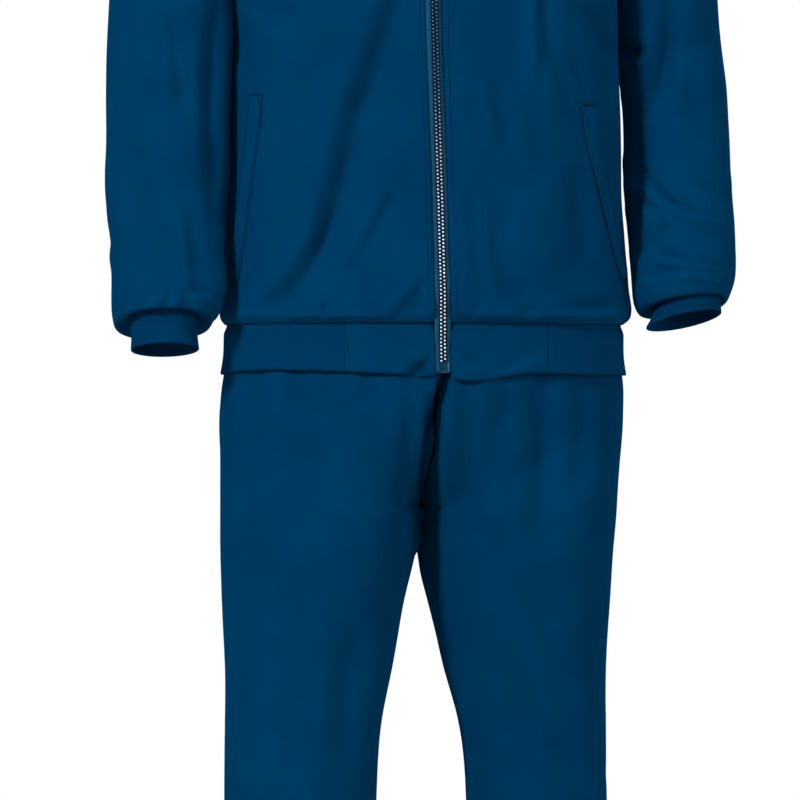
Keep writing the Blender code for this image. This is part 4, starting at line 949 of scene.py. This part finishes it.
# %% Where the cloth keeps still
HEM_SEAM = -0.6145
HEM_STILL = 0.006
CROTCH = -0.8000
CROTCH_BELOW = 0.02
CROTCH_ABOVE = 0.01
RISE_STILL = (0.0005, 0.012)     # from the suit's middle
ZIP_HALF = 0.0080
ZIP_STILL = 0.014
SEAM_HELD = 0.001        # this near a seam the cloth keeps quite still
SEAM_STILL = 0.022       # and this far away it is free
CUFF_STILL = (0.628, 0.606)      # depths where a sleeve nears its cuff
LEG_TOP_STILL = (0.640, 0.672)   # depths where a leg comes out from under the jacket
BAND_ZIP_STILL = 0.006
BAND_STILL = (0.002, 0.012)      # below the jacket's hem seam
ARMHOLE_REACH = 0.0035
NECK_SEAM = 0.004
NECK_DROP = 0.1          # the neckline's front is looked for this much lower
Lean = namedtuple("Lean", "z x")
ZIP_LEAN = [
    Lean(-0.6640, 0.0015), Lean(-0.5000, -0.0020), Lean(-0.3000, -0.0080),
    Lean(-0.1000, -0.0100), Lean(0.1000, -0.0100),
]


def zip_x(height):
    return np.interp(height, [row.z for row in ZIP_LEAN], [row.x for row in ZIP_LEAN])


def still_points(nodes, test):
    """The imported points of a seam, found by a test on their places."""
    points = np.concatenate([read_points(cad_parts[node].data) for node in nodes])
    points = np.unique(np.round(points[test(points)], 5), axis=0)
    tree = KDTree(len(points))
    for i, point in enumerate(points):
        tree.insert(point, i)
    tree.balance()
    return tree


def distance_to(tree, points):
    return np.array([tree.find(point)[2] for point in points])


def shared_points(first, second, reach):
    """The places of one group of pieces that lie against another group."""
    other = still_points(second, lambda p: p[:, 2] < math.inf)
    return still_points(first, lambda p: distance_to(other, p) < reach)


ARMHOLES = shared_points(
    ["jacket_sleeve_left", "jacket_sleeve_right"],
    ["jacket_back", "jacket_front_left", "jacket_front_right"], ARMHOLE_REACH,
)
NECKLINE = still_points(
    ["jacket_collar"], lambda p: p[:, 2] < NECK_SEAM - NECK_DROP * (p[:, 1] < 0.0),
)
print("still places:", ARMHOLES, NECKLINE)


def stillness(tube, points):
    """1 where folds may move the cloth, 0 at a seam that has to stay shut."""
    free = np.ones(len(points))
    z = points[:, 2]
    if tube in ("body", "welt"):
        free *= ramp(z, HEM_SEAM, HEM_SEAM + HEM_STILL)
        beside = np.abs(points[:, 0] - zip_x(z)) - ZIP_HALF
        in_front = points[:, 1] < 0.0
        free *= np.where(in_front, ramp(beside, 0.0, ZIP_STILL), 1.0)
        free *= ramp(distance_to(ARMHOLES, points), SEAM_HELD, SEAM_STILL)
        free *= ramp(distance_to(NECKLINE, points), SEAM_HELD, SEAM_STILL)
    if tube.startswith("sleeve"):
        free *= ramp(distance_to(ARMHOLES, points), SEAM_HELD, SEAM_STILL)
        free *= ramp(-z, *CUFF_STILL)
    if tube.startswith("leg"):
        free *= ramp(-z, *LEG_TOP_STILL)
        above = ramp(z, CROTCH - CROTCH_BELOW, CROTCH + CROTCH_ABOVE)
        free *= 1.0 - above * (1.0 - ramp(np.abs(points[:, 0]), *RISE_STILL))
    if tube == "band":
        beside = np.abs(points[:, 0] - zip_x(z)) - ZIP_HALF
        free *= np.where(points[:, 1] < 0.0, ramp(beside, 0.0, BAND_ZIP_STILL), 1.0)
        free *= ramp(HEM_SEAM - z, *BAND_STILL)
    return free


# %% [markdown]
# The piece's own map is laid out as the pattern cutter would: along the piece is height, and
# across it is the way round the tube, measured on the tube's own section so that ribs keep
# their width at the sides as well as in front.

# %% The map of each piece
Section = namedtuple("Section", "wide deep square")
SECTIONS = {
    "body": Section(BODY_WIDE, BODY_DEEP, BODY_SQUARE),
    "welt": Section(BODY_WIDE, BODY_DEEP, BODY_SQUARE),
    "band": Section(0.200, 0.119, 2.4),
    "sleeve": Section(0.056, 0.056, 2.2), "cuff": Section(0.033, 0.031, 2.0),
    "leg": Section(0.085, 0.088, 2.3), "collar": Section(0.070, 0.072, 2.0),
    "waist": Section(0.170, 0.103, 2.4),
}
ROUND_STEPS = 720


def round_lengths(section):
    """Lengths round a section at even turns, starting at its front."""
    turn = np.linspace(0.0, 2 * math.pi, ROUND_STEPS + 1)
    s, c = np.sin(turn), np.cos(turn)
    reach = (np.abs(s) ** section.square + np.abs(c) ** section.square) ** (-1.0 / section.square)
    x, y = section.wide * reach * s, -section.deep * reach * c
    angle = np.unwrap(np.arctan2(x, -y))
    length = np.concatenate([[0.0], np.cumsum(np.hypot(np.diff(x), np.diff(y)))])
    return angle, length


def lay_map(mesh, tube):
    """The map called cut: metres round the tube, metres up."""
    kind = tube.split("_")[0]
    angle, length = round_lengths(SECTIONS[kind])
    points = read_points(mesh)
    middle = tube_middle(tube, points) if tube in TUBES else np.zeros_like(points)
    turn = np.mod(np.arctan2(points[:, 0] - middle[:, 0], middle[:, 1] - points[:, 1]), 2 * math.pi)
    corner = np.empty(len(mesh.loops), np.int32)
    mesh.loops.foreach_get("vertex_index", corner)
    starts = np.empty(len(mesh.polygons), np.int32)
    sizes = np.empty(len(mesh.polygons), np.int32)
    mesh.polygons.foreach_get("loop_start", starts)
    mesh.polygons.foreach_get("loop_total", sizes)
    first = np.repeat(turn[corner[starts]], sizes)
    here = turn[corner]
    here = here - 2 * math.pi * np.round((here - first) / (2 * math.pi))
    whole = length[-1]
    laps = np.floor(here / (2 * math.pi))
    across = np.interp(here - laps * 2 * math.pi, angle, length) + laps * whole
    layer = mesh.uv_layers.new(name="cut")
    flat = np.stack([across, points[corner, 2]], axis=1)
    layer.data.foreach_set("uv", flat.astype(np.float32).ravel())


# %% [markdown]
# Now the sewn pieces. Each line of the table is one piece that a maker cuts: its wall, the
# tube it belongs to, its finish, and the size of the cloth before it was sewn. The strokes
# are read twice, once for the side that faces the camera and once for the other side. At the
# end each sheet's edges are let out a little and drawn in, so that they lie under their
# neighbours' edges, and the sheet gets its wall.

# %% The sewn pieces
Panel = namedtuple("Panel", "node wall tube finish levels wide long area held")
PANELS = [
    Panel("jacket_back", 0.0012, "body", "cloth", 3, 0.56, 0.68, 0.290, "hung"),
    Panel("jacket_front_right", 0.0012, "body", "cloth", 3, 0.28, 0.66, 0.138, "hung"),
    Panel("jacket_front_left", 0.0012, "body", "cloth", 3, 0.28, 0.66, 0.144, "hung"),
    Panel("jacket_sleeve_right", 0.0012, "sleeve_right", "cloth", 3, 0.46, 0.60, 0.205, "hung"),
    Panel("jacket_sleeve_left", 0.0012, "sleeve_left", "cloth", 3, 0.46, 0.60, 0.190, "hung"),
    Panel("jacket_cuff_right", 0.0016, "cuff_right", "rib", 3, 0.20, 0.037, 0.0073, "stretched"),
    Panel("jacket_cuff_left", 0.0016, "cuff_left", "rib", 3, 0.19, 0.033, 0.0060, "stretched"),
    Panel("jacket_collar", 0.0020, "collar", "cloth", 3, 0.46, 0.065, 0.0245, "hung"),
    Panel("waistband_front_right", 0.0020, "band", "cloth", 3, 0.092, 0.050, 0.0042, "hung"),
    Panel("waistband_front_left", 0.0020, "band", "cloth", 3, 0.110, 0.050, 0.0052, "hung"),
    Panel("waistband_rib", 0.0020, "band", "rib", 3, 0.84, 0.050, 0.0415, "stretched"),
    Panel("pocket_welt_right", 0.0012, "welt", "cloth", 3, 0.018, 0.19, 0.0030, "hung"),
    Panel("pocket_welt_left", 0.0012, "welt", "cloth", 3, 0.020, 0.19, 0.0033, "hung"),
    Panel("trouser_front_right", 0.0012, "leg_right", "cloth", 3, 0.30, 0.99, 0.240, "hung"),
    Panel("trouser_front_left", 0.0012, "leg_left", "cloth", 3, 0.30, 0.99, 0.240, "hung"),
    Panel("trouser_back_right", 0.0012, "leg_right", "cloth", 3, 0.32, 0.99, 0.250, "hung"),
    Panel("trouser_back_left", 0.0012, "leg_left", "cloth", 3, 0.32, 0.99, 0.250, "hung"),
    Panel("trouser_waistband", 0.0024, "waist", "cloth", 2, 0.90, 0.042, 0.0370, "gathered"),
    Panel("zip_tape_right", 0.0010, "body", "tape", 2, 0.014, 0.64, 0.0051, "hung"),
    Panel("zip_tape_left", 0.0010, "body", "tape", 2, 0.014, 0.64, 0.0051, "hung"),
]
STROKES = {
    "body": (JACKET_FRONT, JACKET_BACK), "welt": (JACKET_FRONT, JACKET_BACK),
    "sleeve": (SLEEVES_FRONT, SLEEVES_BACK),
    "leg": (TROUSERS_FRONT, TROUSERS_BACK), "band": (BAND_FRONT, BAND_BACK),
}
TURN_AWAY = 0.25         # how far round the side the front's strokes fade out
ON_BODY = ("body", "band", "welt")
BAND_TUCK = 3.0          # how far the band's upper edge is drawn in under the jacket, in mm
BAND_TUCK_LONG = 0.011
GARMENT = "garment"


def crease(mesh, tube):
    """Moves the cloth's points by its strokes and ripples."""
    kind = tube.split("_")[0]
    front, back = STROKES.get(kind, (NO_STROKES, NO_STROKES))
    points = read_points(mesh)
    away = outward("body" if kind in ON_BODY else tube, points)
    across, down = in_picture(points)
    facing = ramp(away @ np.array(view_back), -TURN_AWAY, TURN_AWAY)
    relief = facing * stroke_relief(front, across, down)
    relief += (1.0 - facing) * stroke_relief(back, across, down)
    relief += ripple_relief("body" if kind == "welt" else tube, points)
    relief *= stillness(tube, points)
    if kind == "band":
        relief -= BAND_TUCK * (1.0 - ramp(HEM_SEAM - points[:, 2], 0.0, BAND_TUCK_LONG))
    if kind == "welt":
        relief += stroke_relief(WELT_EDGES, across, down)
    moved = points + away * (relief * MILLIMETRE)[:, None]
    if kind == "leg":
        moved[:, 1] -= facing * stroke_relief(RISE_FRONT, across, down, STEEP) * MILLIMETRE
    write_points(mesh, moved)


SEAM_OVER = 0.0014
SEAM_UNDER = 0.0003
RISE_REACH = 0.008       # edges this near the middle are the seam between the legs
RISE_OVER = 0.0010
RISE_BELOW = 0.012
ZIP_CLEAR = 0.004
RISE_SIDES = {"leg_right": 1, "leg_left": -1}


def lap_edges(mesh, tube):
    """Lets a sheet's edges reach under their neighbours, as a seam allowance does."""
    bm = bmesh.new()
    bm.from_mesh(mesh)
    moves = {}
    for edge in bm.edges:
        if not edge.is_boundary:
            continue
        face = edge.link_faces[0]
        a, b = edge.verts
        out = (b.co - a.co).cross(face.normal).normalized()
        if out.dot(face.calc_center_median() - (a.co + b.co) / 2) > 0.0:
            out.negate()
        for vert in edge.verts:
            moves[vert] = moves.get(vert, Vector()) + out
    for vert, out in moves.items():
        if vert.co.y < 0.0 and abs(vert.co.x - zip_x(vert.co.z)) < ZIP_HALF + ZIP_CLEAR:
            continue
        vert.co += out.normalized() * SEAM_OVER - vert.normal * SEAM_UNDER
        if tube in RISE_SIDES and abs(vert.co.x) < RISE_REACH and vert.co.z > CROTCH - RISE_BELOW:
            vert.co.x = RISE_SIDES[tube] * RISE_OVER
    bm.to_mesh(mesh)
    bm.free()


def shade_smooth(mesh):
    mesh.polygons.foreach_set("use_smooth", [True] * len(mesh.polygons))


sheets = {}


def sew(panel):
    fine = smooth_sheet(panel.node, outer_sheet(panel.node, panel.wall), panel.levels)
    tape = panel.finish == "tape"
    lay_map(fine, panel.tube)
    if panel.tube not in ("collar", "waist") and not tape:
        crease(fine, panel.tube)
    if not tape:
        lap_edges(fine, panel.tube)
    shade_smooth(fine)
    name = "cloth_" + panel.node
    fine.name = name
    piece = add_item(name, fine)
    wall = piece.modifiers.new("wall", "SOLIDIFY")
    wall.thickness = panel.wall
    wall.offset = -1.0
    fine.materials.clear()
    fine.materials.append(FINISHES[panel.finish])
    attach(piece, GARMENT)
    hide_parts(panel.node)
    sheets[panel.node] = piece
    area = sum(face.area for face in fine.polygons)
    shapes = sum(1 for face in fine.polygons if len(face.vertices) != 4)
    print(name, len(fine.polygons), "faces,", shapes, "odd,", round(area, 4), "m2 against", panel.area)
    return piece


for panel in PANELS:
    piece = sew(panel)

# %% [markdown]
# The zip is moulded: each side has a row of little teeth on the edge of its tape, and the two
# rows mesh. From the front a tooth shows a rounded head, and the gaps between heads lie in
# shade. One head and one root are modelled as bevelled blocks, and copies of them are laid
# along the imported strip. The roots are painted shade: dark blocks that reach over to the
# other row and stand for the shade between the heads. The heads are dull above and carry a
# painted highlight that grows towards the bottom.

# %% Zip teeth
TOOTH_PITCH = 0.00363
Tooth = namedtuple("Tooth", "name finish across deep tall bevel aside out")
TOOTH_PARTS = [
    Tooth("zip_teeth", "tooth", 0.0020, 0.0016, 0.0019, 0.0006, 0.0018, 0.0004),
    # the roots are painted shade, dark blocks standing for the shade between the heads
    Tooth("zip_gap_shade_blocks", "gap_shade", 0.0042, 0.0016, 0.0029, 0.0003, 0.0019, -0.0004),
]
TEETH_LOW = -0.6520
TEETH_HIGH = -0.0470
IN_FRONT = -0.5          # rays towards the zip start here


def packed_tree(node):
    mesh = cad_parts[node].data
    mesh.calc_loop_triangles()
    points = [v.co.copy() for v in mesh.vertices]
    return BVHTree.FromPolygons(points, [tuple(t.vertices) for t in mesh.loop_triangles])


def joined_copies(name, template, places, finish):
    """One mesh of many copies, each put in place by a matrix."""
    points = read_points(template)
    faces = [tuple(face.vertices) for face in template.polygons]
    count = len(points)
    all_points = []
    all_faces = []
    for i, place in enumerate(places):
        turn = np.array(place)
        all_points.append(points @ turn[:3, :3].T + turn[:3, 3])
        all_faces.extend(tuple(v + i * count for v in face) for face in faces)
    mesh = bpy.data.meshes.new(name)
    mesh.from_pydata(np.concatenate(all_points).tolist(), [], all_faces)
    shade_smooth(mesh)
    mesh.materials.append(FINISHES[finish])
    item = add_item(name, mesh)
    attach(item, GARMENT)
    print(name, len(places), "copies,", len(all_faces), "faces")
    return item


def tooth_shape(part):
    bm = bmesh.new()
    size = Matrix.Diagonal((part.across, part.deep, part.tall, 1.0))
    bmesh.ops.create_cube(bm, size=1.0, matrix=size)
    bmesh.ops.bevel(bm, geom=bm.edges[:], offset=part.bevel, segments=2, profile=0.5,
                    affect="EDGES", material=-1)
    return made_mesh("tooth", bm)


def placed(place, across, normal, up):
    """The matrix of a place whose axes are across, into the cloth and up along it."""
    return Matrix.Translation(place) @ Matrix((across, -normal, up)).transposed().to_4x4()


def frame_on(tree, x, z):
    """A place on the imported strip."""
    hit, normal, _, _ = tree.ray_cast(Vector((x, IN_FRONT, z)), Vector((0, 1, 0)))
    up = Vector((0, 0, 1))
    up = (up - normal * up.dot(normal)).normalized()
    across = up.cross(normal).normalized()
    if across.x < 0:
        across = -across
    return placed(hit, across, normal, up)


def tooth_places(tree, part):
    """Both rows, the wearer's left one half a pitch higher."""
    places = []
    count = int((TEETH_HIGH - TEETH_LOW) / TOOTH_PITCH)
    for i in range(count):
        for side, higher in ((-1, 0.0), (1, 0.5)):
            z = TEETH_LOW + (i + higher) * TOOTH_PITCH
            shift = Matrix.Translation((side * part.aside, -part.out, 0.0))
            places.append(frame_on(tree, float(zip_x(z)), z) @ shift)
    return places


def add_teeth():
    tree = packed_tree("zip_chain")
    for part in TOOTH_PARTS:
        places = tooth_places(tree, part)
        teeth = joined_copies(part.name, tooth_shape(part), places, part.finish)
        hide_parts("zip_chain")


add_teeth()

# %% [markdown]
# The slider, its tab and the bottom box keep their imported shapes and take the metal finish.

# %% Zip hardware
for node in ("zip_slider", "zip_pull", "zip_box"):
    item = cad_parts[node]
    item.data.materials.clear()
    item.data.materials.append(FINISHES["metal"])
print("metal pieces: 3")

# %% [markdown]
# Sewing shows as a row of short stitches beside each edge. The path is the edge of the smooth
# sheet, moved inwards by the distance that the machine's foot keeps, and each stitch is a
# small bead of thread half sunk in the cloth. A bar tack, which closes each end of a pocket, is
# the same with wider beads set close together.

# %% Topstitching
STITCH_PITCH = 0.0031
STITCH_LONG = 0.0022
STITCH_WIDE = 0.0008
TACK_PITCH = 0.0008
TACK_WIDE = 0.0013
TACK_LONG = 0.0016
STITCH_FLAT = 0.8
STITCH_OUT = 0.0001
LONGEST_RUN = 0.02       # a longer step is a jump, not an edge
ZIP_STITCH_REACH = 0.022
ZIP_STITCH_LOW = HEM_SEAM + 0.007
ZIP_STITCH_HIGH = -0.10
HEM_STITCH_BELOW = -1.50


def edge_path(mesh):
    """The sheet's edge as one loop of places."""
    bm = bmesh.new()
    bm.from_mesh(mesh)
    edges = [edge for edge in bm.edges if edge.is_boundary]
    start = edges[0].verts[0]
    path = [start]
    used = set()
    while True:
        here = path[-1]
        onward = [e for e in here.link_edges if e.is_boundary and e not in used]
        if not onward:
            break
        used.add(onward[0])
        path.append(onward[0].other_vert(here))
    points = [v.co.copy() for v in path]
    bm.free()
    return points


def inset_path(mesh, inset):
    """The edge moved inwards over the surface: places with their outward directions."""
    points = edge_path(mesh)
    tree = BVHTree.FromPolygons(
        [v.co.copy() for v in mesh.vertices], [tuple(f.vertices) for f in mesh.polygons],
    )
    moved = []
    count = len(points) - 1
    for i in range(count):
        before, after = points[i - 2], points[(i + 2) % count]
        along = (after - before).normalized()
        _, normal, _, _ = tree.find_nearest(points[i])
        side = normal.cross(along).normalized()
        best = None
        for sign in (1, -1):
            place, face_normal, _, gap = tree.find_nearest(points[i] + side * sign * inset)
            if best is None or gap < best[2]:
                best = (place, face_normal, gap)
        moved.append((best[0], best[1]))
    return moved


def stitch_shape(wide, long):
    bm = bmesh.new()
    bmesh.ops.create_uvsphere(bm, u_segments=5, v_segments=3, radius=0.5)
    bmesh.ops.scale(bm, vec=(wide, wide * STITCH_FLAT, long), verts=bm.verts[:])
    return made_mesh("stitch", bm)


def stitch_places(path, wanted, pitch):
    """Matrices at even steps along the parts of a path that pass the test."""
    places = []
    left_over = 0.0
    for (a, na), (b, nb) in zip(path, path[1:]):
        run = b - a
        if run.length > LONGEST_RUN or not wanted(a, run):
            left_over = 0.0
            continue
        at = left_over
        while at < run.length:
            up = run.normalized()
            normal = na.lerp(nb, at / run.length).normalized()
            across = up.cross(normal).normalized()
            places.append(placed(a + up * at + normal * STITCH_OUT, across, normal, up))
            at += pitch
        left_over = at - run.length
    return places


def beside_zip(point, run):
    beside = abs(point.x - zip_x(point.z)) < ZIP_STITCH_REACH
    return point.y < 0 and beside and ZIP_STITCH_LOW < point.z < ZIP_STITCH_HIGH


def up_the_sides(point, run):
    return abs(run.z) >= abs(run.x)


def across_the_ends(point, run):
    return abs(run.z) < abs(run.x)


def near_hem(point, run):
    return point.z < HEM_STITCH_BELOW


Topstitch = namedtuple("Topstitch", "node inset wanted")


def both_sides(*rows):
    return [Topstitch(f"{start}_{side}", inset, wanted)
            for start, inset, wanted in rows for side in SIDES]


TOPSTITCHES = both_sides(
    ("jacket_front", 0.0055, beside_zip), ("pocket_welt", 0.0018, up_the_sides),
    ("trouser_front", 0.0200, near_hem), ("trouser_back", 0.0200, near_hem),
)
BAR_TACKS = both_sides(("pocket_welt", 0.0006, across_the_ends))


def add_stitches(title, rows, shape, pitch):
    for row in rows:
        path = inset_path(sheets[row.node].data, row.inset)
        places = stitch_places(path, row.wanted, pitch)
        joined_copies(title + row.node, shape, places, "thread")


add_stitches("stitches_", TOPSTITCHES, stitch_shape(STITCH_WIDE, STITCH_LONG), STITCH_PITCH)
add_stitches("bar_tacks_", BAR_TACKS, stitch_shape(TACK_WIDE, TACK_LONG), TACK_PITCH)
